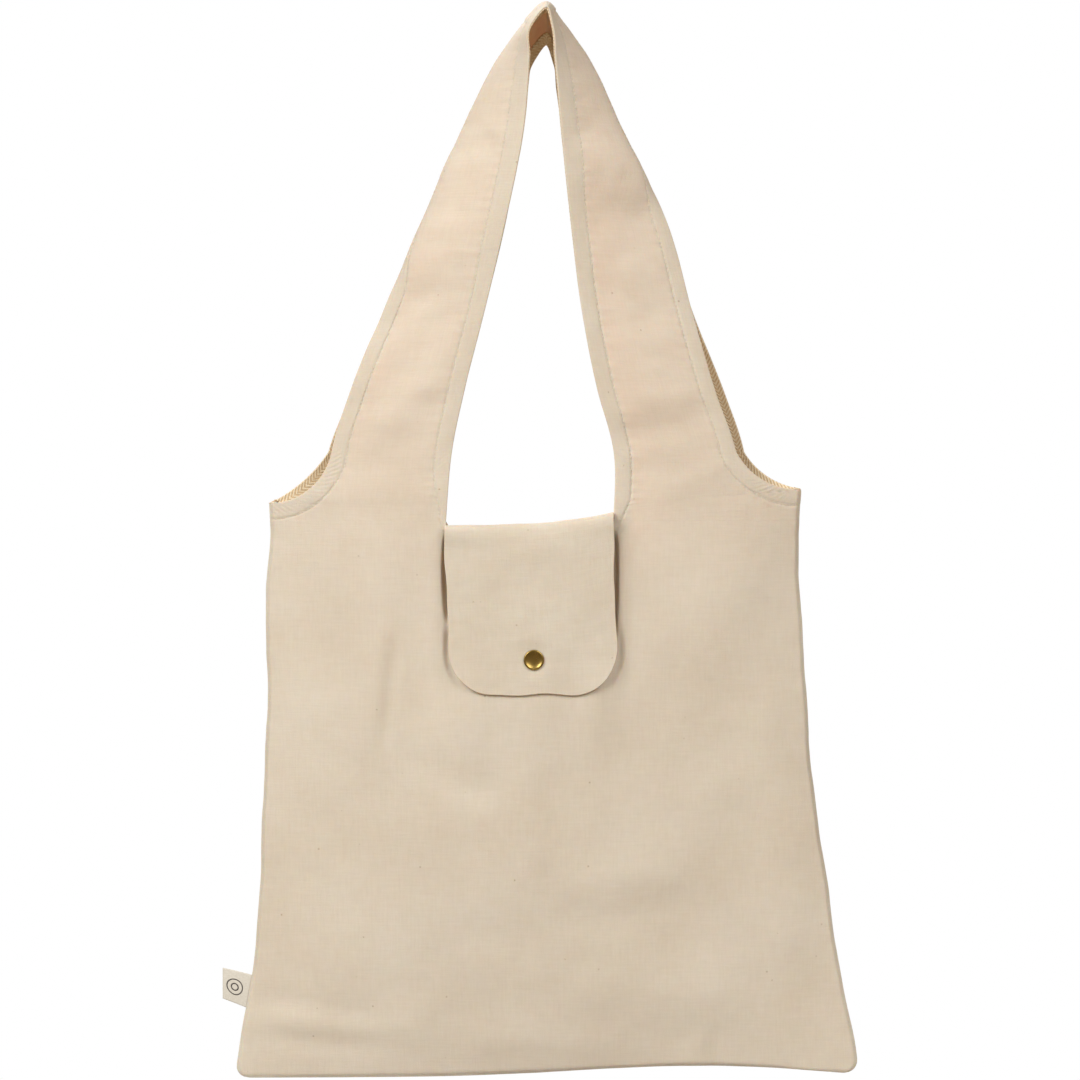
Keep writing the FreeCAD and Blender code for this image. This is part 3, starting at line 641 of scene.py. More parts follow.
def under_flap(outer):
    """Lets the panel touch the flap's lining along the flap's lower edge."""
    x, z = outer[:, 0], outer[:, 2]
    near = (np.abs(x) < 62) & (z < -376) & (z > -510)
    x, z = x[near], z[near]
    weight = (1 - ease(np.abs(x), 30, 62)) * ease(-z, 376, 420) * (1 - ease(-z, 446, 510))
    weight *= ease(np.hypot(x, z - SNAP_Z), 8, 18)
    length = np.clip(-z - 260.0, 86.0, FLAP_PATH[-1, 0])
    lining = flap_surface(x, length)[:, 1] + 2 * PLY + 0.4
    outer[near, 1] += (lining - outer[near, 1]) * weight


def with_strap(obj):
    """Bakes the piece's placement into its mesh."""
    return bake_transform(obj)


def make_canvas(face):
    """One panel with its strap loop, as one piece of cloth."""
    piece = canvas_piece(face)
    normals = vertex_normals(piece["points"], piece["faces"])
    outer = piece["points"] + normals * relief(face, piece)[:, None]
    if face == FRONT:
        under_flap(outer)
    # Both panels turn in to meet at the side and bottom seams.
    turn = 1 - ease(piece["edge"], 0, 2.6)
    outer[:, 1] = outer[:, 1] * (1 - turn) + face * 0.55 * turn
    piece["outer"] = outer
    piece["normals"] = vertex_normals(outer, piece["faces"])
    piece["surface"] = BVHTree.FromPolygons(outer.tolist(), piece["faces"].tolist())
    name = FACE_NAME[face]
    thick = CLOTH - 0.45 * turn
    obj = thicken(f"{name}_canvas", outer, piece["faces"], thick, piece["uv"], piece["normals"])
    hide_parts(f"{name}_panel", f"{name}_strap_left", f"{name}_strap_right")
    with_strap(obj)
    piece["object"] = obj
    return piece


# ---------------------------------------------------------------- tapes and stitches

TAPE_GAP = 0.08
TAPE_WIDTH = 11.1
# Length of one stitch with the gap after it, length of its thread, and the thread's radius.
STITCH_PITCH, STITCH_LENGTH, STITCH_RADIUS = 2.8, 2.2, 0.21


def make_tape(name, piece, distance, along, chosen, centres, radius, cad_nodes):
    """Twill tape under a hem, out to TAPE_WIDTH from the edge. Centres: x, z and sector of its arcs."""
    chosen = chosen & (distance <= TAPE_WIDTH + 0.02) & (piece["edge"] > 2.4)
    faces = piece["faces"][chosen[piece["faces"]].all(1)]
    keep, faces = np.unique(faces, return_inverse=True)
    faces = faces.reshape(-1, 4)
    points = piece["outer"][keep] - piece["normals"][keep] * (CLOTH + TAPE_GAP)
    # Where the edge is an arc, the tape's far edge is one too.
    rim = np.unique(rim_edges(faces))
    for centre_x, centre_z, sector in centres:
        offset = points[rim][:, [0, 2]] - (centre_x, centre_z)
        off = np.hypot(*offset.T)
        near = (np.abs(off - radius - TAPE_WIDTH) < 1.7) & sector(offset[:, 0], offset[:, 1])
        moved = offset[near] / off[near, None] * (radius + TAPE_WIDTH)
        points[rim[near], 0], points[rim[near], 2] = moved[:, 0] + centre_x, moved[:, 1] + centre_z
    points += piece["normals"][keep] * 0.1 * bump_noise(points, 6, 21)[:, None]
    uv = np.stack([distance[keep], along[keep]], 1)
    obj = thicken(name, points, faces, TAPE, uv, piece["normals"][keep])
    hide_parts(*cad_nodes)
    return with_strap(obj)


def neck_tape(face, piece):
    name = FACE_NAME[face]
    reach = NECK_HALF - NECK_R
    centres = [(NECK_MIDDLE + hand * reach, SHOULDER_Z, lambda dx, dz, hand=hand: (dx * hand > 0) & (dz < 0))
               for hand in (LEFT, RIGHT)]
    nodes = [f"{name}_neck_tape"] + [f"{name}_strap_{HAND_NAME[hand]}_neck_tape" for hand in (LEFT, RIGHT)]
    distance = piece["hem_in"] / neck_narrowing(piece["points"][:, 0], piece["points"][:, 2])
    return make_tape(f"{name}_neck_twill", piece, distance, piece["along_in"], distance < 50, centres,
                     NECK_R, nodes)


def armhole_tape(face, hand, piece):
    name, side = FACE_NAME[face], HAND_NAME[hand]
    cx, cz, radius = ARMHOLE[face, hand]
    x = piece["points"][:, 0]
    chosen = (piece["leg"] == hand) | ((piece["leg"] == 0) & (x * hand > 100))
    centres = [(hand * cx, cz, lambda dx, dz: dz < STRAP_Z - cz - 4)]
    nodes = [f"{name}_strap_{side}_armhole_tape", f"{side}_armhole_tape"]
    return make_tape(f"{name}_{side}_armhole_twill", piece, piece["hem_out"], piece["along_out"],
                     chosen, centres, radius, nodes)


def even(path, step):
    """Points at even spacing along a path."""
    path = np.asarray(path, float)
    length = run_length(path)
    at = np.linspace(0, length[-1], max(int(length[-1] / step), 2) + 1)
    return np.stack([np.interp(at, length, path[:, k]) for k in range(3)], 1)


def hem_column(leg, outer_side):
    """The stitched line along one edge of a leg, up to the crown."""
    columns, points = leg["columns"], leg["points"]
    line = []
    for row, at, width in zip(points, columns, columns[:, -1]):
        inset = width - HEM if outer_side else HEM / neck_narrowing(row[0, 0], row[0, 2])
        line.append([np.interp(inset, at, row[:, k]) for k in range(3)])
    return np.array(line)


def neck_line(face, piece):
    """The stitched line down the left leg, along the neck and up the right leg."""
    left, right = (hem_column(piece["legs"][hand], False) for hand in (LEFT, RIGHT))
    reach, turn = NECK_HALF - NECK_R, NECK_R + HEM / neck_narrowing(0.0, NECK_Z)
    corners = []
    for hand in (LEFT, RIGHT):
        angle = np.linspace(0, math.pi / 2, 12)[::-hand]
        corners.append(np.stack([NECK_MIDDLE + hand * (reach + turn * np.cos(angle)), 0 * angle,
                                 SHOULDER_Z - turn * np.sin(angle)], 1))
    flat = even(np.concatenate(corners), 1.0)
    flat[:, 1] = face * body_depth(flat[:, 0], flat[:, 2])
    return np.concatenate([left[::-1], flat, right])


def armhole_line(face, hand, piece):
    """The stitched line along an armhole and up its leg."""
    column = hem_column(piece["legs"][hand], True)
    column = column[column[:, 2] > STRAP_Z + 1]
    cx, cz, radius = ARMHOLE[face, hand]
    radius += HEM
    seam_x = 170.5
    first, last = math.asin((cx - seam_x) / radius), math.acos((cz - column[0, 2] + 0.6) / radius)
    angle = np.linspace(first, last, 60)
    arc = np.stack([hand * (cx - radius * np.sin(angle)), 0 * angle, cz - radius * np.cos(angle)], 1)
    arc[:, 1] = face * body_depth(arc[:, 0], arc[:, 2])
    return np.concatenate([arc, column])


# A stitch's cross-sections: place along it, thickness and height, as shares of its length and radius.
STITCH_PROFILE = [(-0.5, 0.35, -0.2), (-0.42, 0.85, -0.02), (-0.15, 1.0, 0.13),
                  (0.15, 1.0, 0.13), (0.42, 0.85, -0.02), (0.5, 0.35, -0.2)]


def stitches(paths):
    """Short rounded stitches along paths of points with the directions that they stand out in."""
    ring = 6
    turn = np.linspace(0, 2 * math.pi, ring, endpoint=False)
    offsets = np.array([p[0] for p in STITCH_PROFILE])
    points, faces = [], []
    for path, normals in paths:
        length = run_length(path)
        centres = np.arange(STITCH_PITCH, length[-1] - STITCH_PITCH, STITCH_PITCH)
        for n, centre in enumerate(centres):
            at = centre + STITCH_LENGTH * offsets
            spine = np.stack([np.interp(at, length, path[:, k]) for k in range(3)], 1)
            up = unit(np.array([np.interp(centre, length, normals[:, k]) for k in range(3)]))
            aside = unit(np.cross(unit(spine[-1] - spine[0]), up))
            lean = 0.12 * math.sin(12.9898 * n)
            start = len(points)
            for (offset, fat, rise), point in zip(STITCH_PROFILE, spine):
                middle = point + up * rise + aside * lean * offset
                for angle in turn:
                    points.append(middle + STITCH_RADIUS * fat * (
                        math.cos(angle) * aside + 0.8 * math.sin(angle) * up))
            last = start + (len(STITCH_PROFILE) - 1) * ring
            for a in range(start, last, ring):
                for j in range(ring):
                    b = a + (j + 1) % ring
                    faces.append([a + j, b, b + ring, a + j + ring])
            for j in range(1, ring - 1):
                faces.append([start, start + j + 1, start + j, start + j])
                faces.append([last, last + j, last + j + 1, last + j + 1])
    return np.array(points), np.array(faces)


def on_surface(piece, path):
    """The path moved onto the canvas, with the canvas's outward directions."""
    hits = [piece["surface"].find_nearest(Vector(p)) for p in path]
    return np.array([h[0] for h in hits]), np.array([h[1] for h in hits])


def hem_stitches(face, piece):
    """The topstitching of the neck and of both armholes, on the outside and on the tapes."""
    lines = [neck_line(face, piece)] + [armhole_line(face, hand, piece) for hand in (LEFT, RIGHT)]
    paths = []
    for line in lines:
        points, normals = on_surface(piece, even(line, 1.0))
        paths.append((points, normals))
        paths.append((points - normals * (CLOTH + TAPE_GAP + TAPE), -normals))
    points, faces = stitches(paths)
    obj = make_object(f"{FACE_NAME[face]}_hem_stitches", points, faces, points[:, [0, 2]])
    return with_strap(obj)


# ---------------------------------------------------------------- flap

# Half of the flap's width, the radius of its lower corners, a layer's thickness and the gap between two.
FLAP_HALF = 53.2
FLAP_CORNER = 27.0
PLY = 0.82
PLY_GAP = 0.04
# Along the flap from its root inside the back panel, over the mouth and down the front: length, y, z.
FLAP_PATH = np.array([
    (0.0, 26.1, -355.0), (8.0, 26.1, -347.0), (13.0, 25.4, -342.2), (18.0, 21.8, -339.2),
    (30.0, 10.0, -338.4), (50.0, -10.0, -337.4), (65.0, -25.0, -334.4), (70.5, -30.2, -333.4),
    (75.0, -33.9, -335.6), (80.0, -35.3, -340.0), (86.0, -35.6, -346.0), (102.0, -35.5, -362.0),
    (142.0, -35.1, -402.0), (162.4, -35.0, -422.4), (184.4, -35.2, -444.4)])
# The flap's root, sewn on behind the mouth, ends at this length along it, where the rest of the flap begins.
ROOT_END = 29.0


def flap_surface(x, s):
    """Outer face of the flap at x across and s along it. It hangs askew and bulges unevenly."""
    y, z = spline(FLAP_PATH[:, 0], FLAP_PATH[:, 1:], s).T
    across = x / FLAP_HALF
    front = ease(s, 72, 92)
    over = ease(s, 2, 16) * (1 - ease(s, 120, 188))
    drift = -3.2 * ease(s, 20, 66) * (1 - ease(s, 80, 170)) - 0.4
    z = z + (1.1 * across + 6.2 * np.clip(across, 0, 1) ** 1.7 - 2.0) * over
    z = z - (1 - front) * ease(s, 14, 30) * (1 - ease(s, 60, 70)) * 1.6 * (1 - across**2)
    away = np.hypot(x, z - SNAP_Z)
    calm = ease(away, 5, 16)
    low = ease(s, 146, 182)
    y = y + front * calm * (2.3 * across**2 - 1.0 * np.exp(-((across - 0.1) / 0.5) ** 2) * (1 - low))
    y = y - low * 1.2 * (ease(-across, 0.4, 0.95) ** 1.5 + 0.6 * ease(across, 0.35, 0.95) ** 1.5)
    y = y - front * calm * 0.5 * np.sin(across * 7.5 + 0.8) * low
    flat = np.stack([x, s, 0 * x], -1)
    rough = 0.45 * bump_noise(flat, 26, 31) + 0.15 * bump_noise(flat, 9, 33)
    y = y + front * calm * rough
    z = z + (1 - front) * rough * 0.7 * ease(s, 10, 20)
    bottom = 0.5 * np.sin(across * 6.2 + 0.6) + 0.35 * np.sin(across * 11)
    z = z + bottom * ease(s, 172, 184)
    wider = 1.0 * ease(across) * ease(s, 20, 66) * (1 - ease(s, 90, 150))
    return np.stack([x + drift + wider, y, z], -1)


def flap_outline(s, inset=0.0):
    """Half of the flap's width at s along it, with its two round corners."""
    half, radius, end = FLAP_HALF - inset, FLAP_CORNER - inset, FLAP_PATH[-1, 0] - inset
    into = np.clip(s - (end - radius), 0, radius)
    return half - radius + np.sqrt(np.maximum(radius**2 - into**2, 0))


def flap_ply(name, start, stop, lining):
    """One layer of the flap, the outer one or the lining, between two places along it."""
    depth, inset = (PLY + PLY_GAP, 0.55) if lining else (0.0, 0.0)
    if stop == FLAP_PATH[-1, 0]:
        # The rows crowd together towards the free edge.
        stop, crowd = stop - inset, 6
        near_edge = stop - crowd * (1 - np.sin(np.linspace(0, math.pi / 2, 16)))
        s = np.concatenate([np.arange(start, stop - crowd, 1.1), near_edge])
    else:
        s = np.append(np.arange(start, stop, 1.1), stop)
    crowd = 0.98 * math.pi / 2
    across = np.sin(np.linspace(-crowd, crowd, 78)) / math.sin(crowd)
    ragged = 0.35 * np.sin(s / 11.0) + 0.2 * np.sin(s / 4.7)
    x = across[None] * (flap_outline(s, inset) + ragged)[:, None]
    s = np.broadcast_to(s[:, None], x.shape)
    points = flap_surface(x.ravel(), s.ravel())
    faces, normals = facing(points, grid_faces(*x.shape), (0, -1, 0.7), len(points) // 2)
    uv = np.stack([x.ravel(), -s.ravel()], 1)
    return thicken(name, points - normals * depth, faces, PLY, uv, normals, bulge=0.35)


def make_flap():
    """The flap's two layers, and their roots that are sewn on the back panel, by name."""
    flap = {}
    kinds = ("outer", "lining")
    for kind in kinds:
        obj = flap_ply(f"flap_{kind}", ROOT_END + 0.15, FLAP_PATH[-1, 0], kind == "lining")
        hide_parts(f"flap_top_{kind}", f"flap_front_{kind}")
        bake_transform(obj)
        flap[kind] = obj
    for kind in kinds:
        obj = flap_ply(f"flap_root_{kind}", 0.0, ROOT_END, kind == "lining")
        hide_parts("flap_seam_allowance")
        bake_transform(obj)
        flap["root_" + kind] = obj
    return flap


# Half of the cap's cross-section: distance from its axis, and height above the flap.
CAP_PROFILE = [
    (0.0, 0.55), (1.6, 0.57), (3.0, 0.68), (4.1, 0.88), (4.8, 1.10), (5.3, 1.32), (5.7, 1.42), (6.1, 1.36),
    (6.4, 1.12), (6.55, 0.7), (6.5, 0.3), (6.3, 0.02), (5.6, -0.05), (0.0, -0.05)]


def make_cap():
    """The snap's cap: a shallow dish inside a round raised rim, spun about the snap's axis."""
    face_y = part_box("flap_front_outer")[0].y / MM
    turns, count = 72, len(CAP_PROFILE)
    radius, height = np.array(CAP_PROFILE).T
    angle = np.linspace(0, 2 * math.pi, turns, endpoint=False)[:, None]
    points = np.stack([radius * np.cos(angle), face_y - height + 0 * angle,
                       SNAP_Z + radius * np.sin(angle)], -1).reshape(-1, 3)
    ring = np.arange(turns * count).reshape(turns, count)
    after = np.roll(ring, -1, 0)
    faces = np.stack([ring[:, :-1], after[:, :-1], after[:, 1:], ring[:, 1:]], -1).reshape(-1, 4)
    first, faces = weld(points, faces)
    obj = make_object("snap_cap_face", points[first], faces, points[first][:, [0, 2]])
    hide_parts("snap_cap")
    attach(obj, "flap_front")
    return obj


# ---------------------------------------------------------------- seams, patch and label

SEAM_THICK = 1.3
SEAM_WIDTH = 8.0


def strip(name, path, across, rise):
    """A seam allowance: a flat, slightly wavy strip along a path, SEAM_WIDTH to one side of it."""
    step = 1.6
    path = even(path, step)
    steps = np.linspace(0, SEAM_WIDTH, 7)
    points = path[:, None] + np.array(across) * steps[:, None]
    shape = points.shape[:2]
    points = points.reshape(-1, 3)
    wave = 0.22 * bump_noise(points, 14, 41) + 0.12 * bump_noise(points, 5, 43)
    points = points + np.array(rise) * (SEAM_THICK / 2 + wave[:, None])
    length = np.arange(shape[0]) * step
    uv = np.stack(np.broadcast_arrays(length[:, None], steps), -1).reshape(-1, 2)
    faces, normals = facing(points, grid_faces(*shape), rise, len(points) // 2)
    return thicken(name, points, faces, SEAM_THICK, uv, normals)


def make_seams():
    """The overlocked allowances inside the side seams and the bottom seam."""
    pieces = []
    for hand in (LEFT, RIGHT):
        z = np.linspace(-322.5, BOTTOM + 17, 60)
        path = np.stack([side_edge(hand, z) - hand * 2.2, 0 * z, z], 1)
        side = HAND_NAME[hand]
        obj = strip(f"{side}_seam_overlock", path, (-hand, 0, 0), (0, -1, 0))
        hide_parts(f"{side}_side_seam_allowance")
        pieces.append(obj)
    left, right = (side_edge(hand, BOTTOM + 6) - hand * 14 for hand in (LEFT, RIGHT))
    x = np.linspace(left, right, 60)
    path = np.stack([x, 0 * x, bottom_edge(x) + 2.4], 1)
    obj = strip("bottom_seam_overlock", path, (0, 0, 1), (0, -1, 0))
    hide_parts("bottom_seam_allowance")
    pieces.append(obj)
    for obj in pieces:
        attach(obj, "bag")
    return pieces


PATCH_HALF = 13.5
PATCH_THICK = 0.8


def make_patch():
    """A square of canvas inside the front panel, which the stud is set through."""
    steps = np.linspace(-PATCH_HALF, PATCH_HALF, 28)
    x, z = np.meshgrid(steps, steps)
    y = np.full_like(x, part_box("stud_patch")[1].y / MM - PATCH_THICK)
    points = np.stack([x, y, z + SNAP_Z], -1).reshape(-1, 3)
    away = np.hypot(points[:, 0], points[:, 2] - SNAP_Z)
    points[:, 1] += 0.25 * bump_noise(points, 9, 51) * ease(away, 6, 12)
    faces, normals = facing(points, grid_faces(*x.shape), (0, -1, 0), 0)
    obj = thicken("stud_backing_patch", points, faces, PATCH_THICK, points[:, [0, 2]], normals)
    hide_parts("stud_patch")
    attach(obj, "bag")
    return obj


# The label: height of its middle in the seam, half its height, its visible length and X of its fold.
LABEL_MIDDLE = -638.9
LABEL_HALF = 10.5
LABEL_LENGTH = 17.2
LABEL_TIP = -202.3


def label_point(u, v, side):
    """A point of the folded label. u goes from 0 in the seam to 1 at the fold, v goes up, and side goes
    from -1 on the front ply to 1 on the back one."""
    z = LABEL_MIDDLE + v * (1 - 0.06 * u) + 5.2 * u
    root = side_edge(LEFT, z) - 0.15
    gap = 0.16 + 0.42 * np.sin(np.pi * np.clip(u, 0, 1)) ** 0.8
    curl = 0.42 * np.sin(2.3 * u) * (v / LABEL_HALF) ** 2 - 0.3 * u**2
    return np.stack([root + (LABEL_TIP - root) * u, side * gap + curl, z], -1)


def make_label():
    """A ribbon folded in half in the side seam."""
    half_turn = np.linspace(-1, 1, 64)
    v = np.linspace(-LABEL_HALF, LABEL_HALF, 26)
    u = 1 - np.abs(half_turn) ** 1.6
    side = np.sign(half_turn) * np.clip(np.abs(half_turn) * 5, 0, 1)
    uu, vv, ss = np.broadcast_arrays(u[:, None], v, side[:, None])
    grid = label_point(uu, vv, ss)
    points = grid.reshape(-1, 3)
    faces, normals = facing(points, grid_faces(*uu.shape), (0, -1, 0), 5 * len(v) + 12)
    run = run_length(grid[:, len(v) // 2])
    uv = np.stack(np.broadcast_arrays(run[:, None], v), -1).reshape(-1, 2)
    ribbon = thicken("label_ribbon", points, faces, 0.28, uv, normals)
    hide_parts("side_label")
    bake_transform(ribbon)
    return ribbon


def label_mark():
    """Two plain rings, one inside the other, printed on the label's front ply."""
    points, faces = [], []
    angle = np.linspace(0, 2 * math.pi, 49)
    for radius, width in ((5.0, 0.7), (2.2, 0.8)):
        faces.append(grid_faces(len(angle), 2, 2 * len(points) * len(angle)))
        reach = radius + np.array([-width / 2, width / 2])
        across, up = reach * np.cos(angle)[:, None], reach * np.sin(angle)[:, None]
        points.append(label_point(0.55 + across / LABEL_LENGTH, up, -1.0).reshape(-1, 3))
    points = np.concatenate(points) + np.array([0, -0.06, 0])
    faces, _ = facing(points, np.concatenate(faces), (0, -1, 0))
    outward = np.broadcast_to([0.0, -1, 0], points.shape)
    obj = thicken("label_mark", points, faces, 0.05, points[:, [0, 2]], outward)
    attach(obj, "label")
    return obj


# ---------------------------------------------------------------- materials


class Nodes:
    """Short calls for building a material's node tree."""

    def __init__(self, name):
        self.material = bpy.data.materials.new(name)
        self.material.use_nodes = True
        self.tree = self.material.node_tree
        self.shader = self.tree.nodes["Principled BSDF"]

    def add(self, kind, **settings):
        node = self.tree.nodes.new(kind)
        for key, value in settings.items():
            setattr(node, key, value)
        return node

    def feed(self, socket, value):
        """Sets the socket to a number or a colour, or links another node's output to it."""
        if isinstance(value, (int, float)):
            socket.default_value = value
        elif isinstance(value, tuple):
            socket.default_value = (*value, 1) if len(socket.default_value) == 4 else value
        else:
            self.tree.links.new(value, socket)

    def scaled(self, vector, scale):
        node = self.add("ShaderNodeVectorMath", operation="MULTIPLY")
        self.feed(node.inputs[0], vector)
        self.feed(node.inputs[1], scale)
        return node.outputs[0]

    def cloth(self):
        """The cloth's own flat coordinates, in mm."""
        return self.scaled(self.add("ShaderNodeUVMap", uv_map="cloth").outputs[0], (1000, 1000, 1000))

    def metal(self):
        """The object's own coordinates, in mm."""
        return self.scaled(self.add("ShaderNodeTexCoord").outputs["Object"], (1000, 1000, 1000))

    def noise(self, vector, scale, detail):
        node = self.add("ShaderNodeTexNoise")
        for socket, value in (("Vector", vector), ("Scale", scale), ("Detail", detail)):
            self.feed(node.inputs[socket], value)
        return node.outputs["Fac"]

    def grain(self, flat, per_mm_x, per_mm_y, detail):
        """Noise with features of different length along the cloth's two directions."""
        return self.noise(self.scaled(flat, (per_mm_x, per_mm_y, 1)), 1.0, detail)

    def bands(self, flat, direction, scale):
        node = self.add("ShaderNodeTexWave", wave_type="BANDS", bands_direction=direction, wave_profile="SIN")
        self.feed(node.inputs["Vector"], flat)
        self.feed(node.inputs["Scale"], scale)
        return node.outputs["Fac"]

    def math(self, operation, a, b=0.0):
        node = self.add("ShaderNodeMath", operation=operation)
        self.feed(node.inputs[0], a)
        self.feed(node.inputs[1], b)
        return node.outputs[0]

    def blend(self, *parts):
        """The sum of values, each with its share."""
        total = None
        for value, share in parts:
            part = self.math("MULTIPLY", value, share)
            total = part if total is None else self.math("ADD", total, part)
        return total

    def ramp(self, value, *stops):
        node = self.add("ShaderNodeValToRGB")
        while len(node.color_ramp.elements) < len(stops):
            node.color_ramp.elements.new(0.5)
        for element, (place, colour) in zip(node.color_ramp.elements, stops):
            element.position = place
            element.color = (*colour, 1)
        self.feed(node.inputs[0], value)
        return node.outputs["Color"]

    def mix(self, factor, a, b):
        node = self.add("ShaderNodeMix", data_type="RGBA", blend_type="MIX")
        for socket, value in ((0, factor), (6, a), (7, b)):
            self.feed(node.inputs[socket], value)
        return node.outputs[2]

    def bump(self, height, distance, strength):
        node = self.add("ShaderNodeBump")
        self.feed(node.inputs["Strength"], strength)
        self.feed(node.inputs["Distance"], distance)
        self.feed(node.inputs["Height"], height)
        self.set(Normal=node.outputs["Normal"])

    def set(self, **values):
        for key, value in values.items():
            self.feed(self.shader.inputs[key.replace("_", " ")], value)


def canvas_material(name, light, dark, seeds=True):
    """Undyed plain-weave cotton: uneven warp and weft, slubs, large soft shade changes and seed specks."""
    n = Nodes(name)
    flat = n.cloth()
    threads = n.blend((n.grain(flat, 2.3, 0.16, 3), 0.5), (n.grain(flat, 0.16, 2.3, 3), 0.5))
    slubs = n.blend((n.grain(flat, 0.8, 0.05, 2), 0.5), (n.grain(flat, 0.05, 0.8, 2), 0.5))
    cloud = n.grain(flat, 0.014, 0.014, 3)
    mottle = n.grain(flat, 0.16, 0.16, 4)
    shade = n.blend((threads, 0.24), (cloud, 0.36), (slubs, 0.3), (mottle, 0.1))
    colour = n.ramp(shade, (0.36, dark), (0.62, light))
    if seeds:
        cells = n.add("ShaderNodeTexVoronoi", feature="F1")
        n.feed(cells.inputs["Vector"], n.scaled(flat, (0.085, 0.085, 1)))
        n.feed(cells.inputs["Scale"], 1.0)
        speck = n.ramp(cells.outputs["Distance"], (0.0, (1, 1, 1)), (0.075, (0, 0, 0)))
        rare = n.math("GREATER_THAN", n.noise(n.scaled(flat, (0.05, 0.05, 1)), 3.0, 1), 0.54)
        colour = n.mix(n.math("MULTIPLY", n.math("MULTIPLY", speck, rare), 0.75), colour, (0.36, 0.22, 0.10))
    weave = n.math("MULTIPLY", n.bands(flat, "X", 0.45), n.bands(flat, "Y", 0.45))
    n.bump(n.blend((threads, 0.9), (weave, 0.25), (slubs, 0.6)), 0.00035, 0.55)
    n.set(Base_Color=colour, Roughness=0.92, Sheen_Weight=0.05, Sheen_Roughness=0.6, Specular_IOR_Level=0.2)
    n.set(Subsurface_Weight=0.35, Subsurface_Scale=0.003)
    n.shader.inputs["Subsurface Radius"].default_value = (1.0, 0.5, 0.22)
    return n.material


def twill_material():
    """Cotton tape woven in a herringbone."""
    n = Nodes("twill tape")
    flat = n.cloth()
    parts = n.add("ShaderNodeSeparateXYZ")
    n.feed(parts.inputs[0], flat)
    zigzag = n.math("ADD", n.math("PINGPONG", parts.outputs[0], 3.7), parts.outputs[1])
    rib_period = 2.6
    ribs = n.math("SINE", n.math("MULTIPLY", zigzag, 2 * math.pi / rib_period))
    ribs = n.math("ADD", n.math("MULTIPLY", ribs, 0.5), 0.5)
    shade = n.blend((ribs, 0.6), (n.grain(flat, 0.8, 0.8, 3), 0.4))
    n.bump(shade, 0.0004, 0.8)
    n.set(Base_Color=n.ramp(shade, (0.25, (0.73, 0.54, 0.31)), (0.7, (0.95, 0.82, 0.59))))
    n.set(Roughness=0.9, Sheen_Weight=0.1, Specular_IOR_Level=0.2)
    return n.material


def thread_material(name, light, dark):
    """Two-ply cotton thread."""
    n = Nodes(name)
    n.set(Base_Color=n.ramp(n.grain(n.cloth(), 2.2, 2.2, 2), (0.3, dark), (0.7, light)))
    n.set(Roughness=0.75, Sheen_Weight=0.1, Specular_IOR_Level=0.3)
    return n.material


def ribbon_material():
    """Soft woven ribbon."""
    n = Nodes("label ribbon")
    flat = n.cloth()
    shade = n.blend((n.grain(flat, 0.3, 4.0, 2), 0.5), (n.grain(flat, 0.9, 0.9, 3), 0.5))
    n.bump(shade, 0.0002, 0.5)
    n.set(Base_Color=n.ramp(shade, (0.3, (0.66, 0.61, 0.50)), (0.7, (0.80, 0.76, 0.66))))
    n.set(Roughness=0.85, Specular_IOR_Level=0.25)
    return n.material


def ink_material():
    """Faded printing ink."""
    n = Nodes("label ink")
    fuzz = n.grain(n.cloth(), 2.5, 2.5, 2)
    n.set(Base_Color=n.ramp(fuzz, (0.35, (0.05, 0.045, 0.04)), (0.75, (0.16, 0.14, 0.12))), Roughness=0.8)
    return n.material


def brass_material(name, light, dark, roughness):
    """Antique brass with a brown patina, rubbed bright in places."""
    n = Nodes(name)
    spot = n.metal()
    patina = n.noise(spot, 0.22, 5)
    rough = n.ramp(patina, (0.3, (roughness + 0.1,) * 3), (0.7, (roughness,) * 3))
    n.bump(n.noise(spot, 1.6, 3), 0.0001, 0.08)
    n.set(Base_Color=n.ramp(patina, (0.30, dark), (0.72, light)), Roughness=rough, Metallic=1.0)
    return n.material


def dress(obj, material, inside=None):
    """Gives the piece its material, and another one to the inner face of a layer of cloth."""
    obj.data.materials.clear()
    obj.data.materials.append(material)
    if inside:
        obj.data.materials.append(inside)
        index = np.zeros(len(obj.data.polygons), np.int32)
        index[obj["first_inner_face"] : obj["last_inner_face"]] = 1
        obj.data.polygons.foreach_set("material_index", index)


# ---------------------------------------------------------------- making everything

CLOTH_LIGHT, CLOTH_DARK = (0.797, 0.684, 0.556), (0.696, 0.580, 0.445)
# The inner faces of the panels and the flap's lining get a darker, warmer copy of the canvas colours: painted
# shade, standing in for the shadow and warm bounce light inside the bag and under the flap.
PAINTED_SHADE_LIGHT, PAINTED_SHADE_DARK = (0.72, 0.58, 0.40), (0.61, 0.47, 0.31)
cloth_material = canvas_material("cotton canvas", CLOTH_LIGHT, CLOTH_DARK)
painted_shade_material = canvas_material("canvas inner face with painted shade", PAINTED_SHADE_LIGHT, PAINTED_SHADE_DARK)
painted_shade_lining_material = canvas_material("flap lining canvas with painted shade", PAINTED_SHADE_LIGHT, PAINTED_SHADE_DARK)
seam_material = canvas_material("seam cloth", CLOTH_LIGHT, CLOTH_DARK, seeds=False)
tape_material = twill_material()
stitch_material = thread_material("stitching thread", (0.82, 0.73, 0.58), (0.66, 0.56, 0.41))
# The snap's brass is darker than its patina alone makes it: part of that darkness is painted shade, standing
# in for the dark surroundings that the cap reflects.
patina_and_shade_brass = brass_material("antique brass", (0.52, 0.36, 0.11), (0.27, 0.18, 0.05), 0.26)
spring_metal = brass_material("spring wire", (0.75, 0.60, 0.32), (0.5, 0.36, 0.16), 0.3)

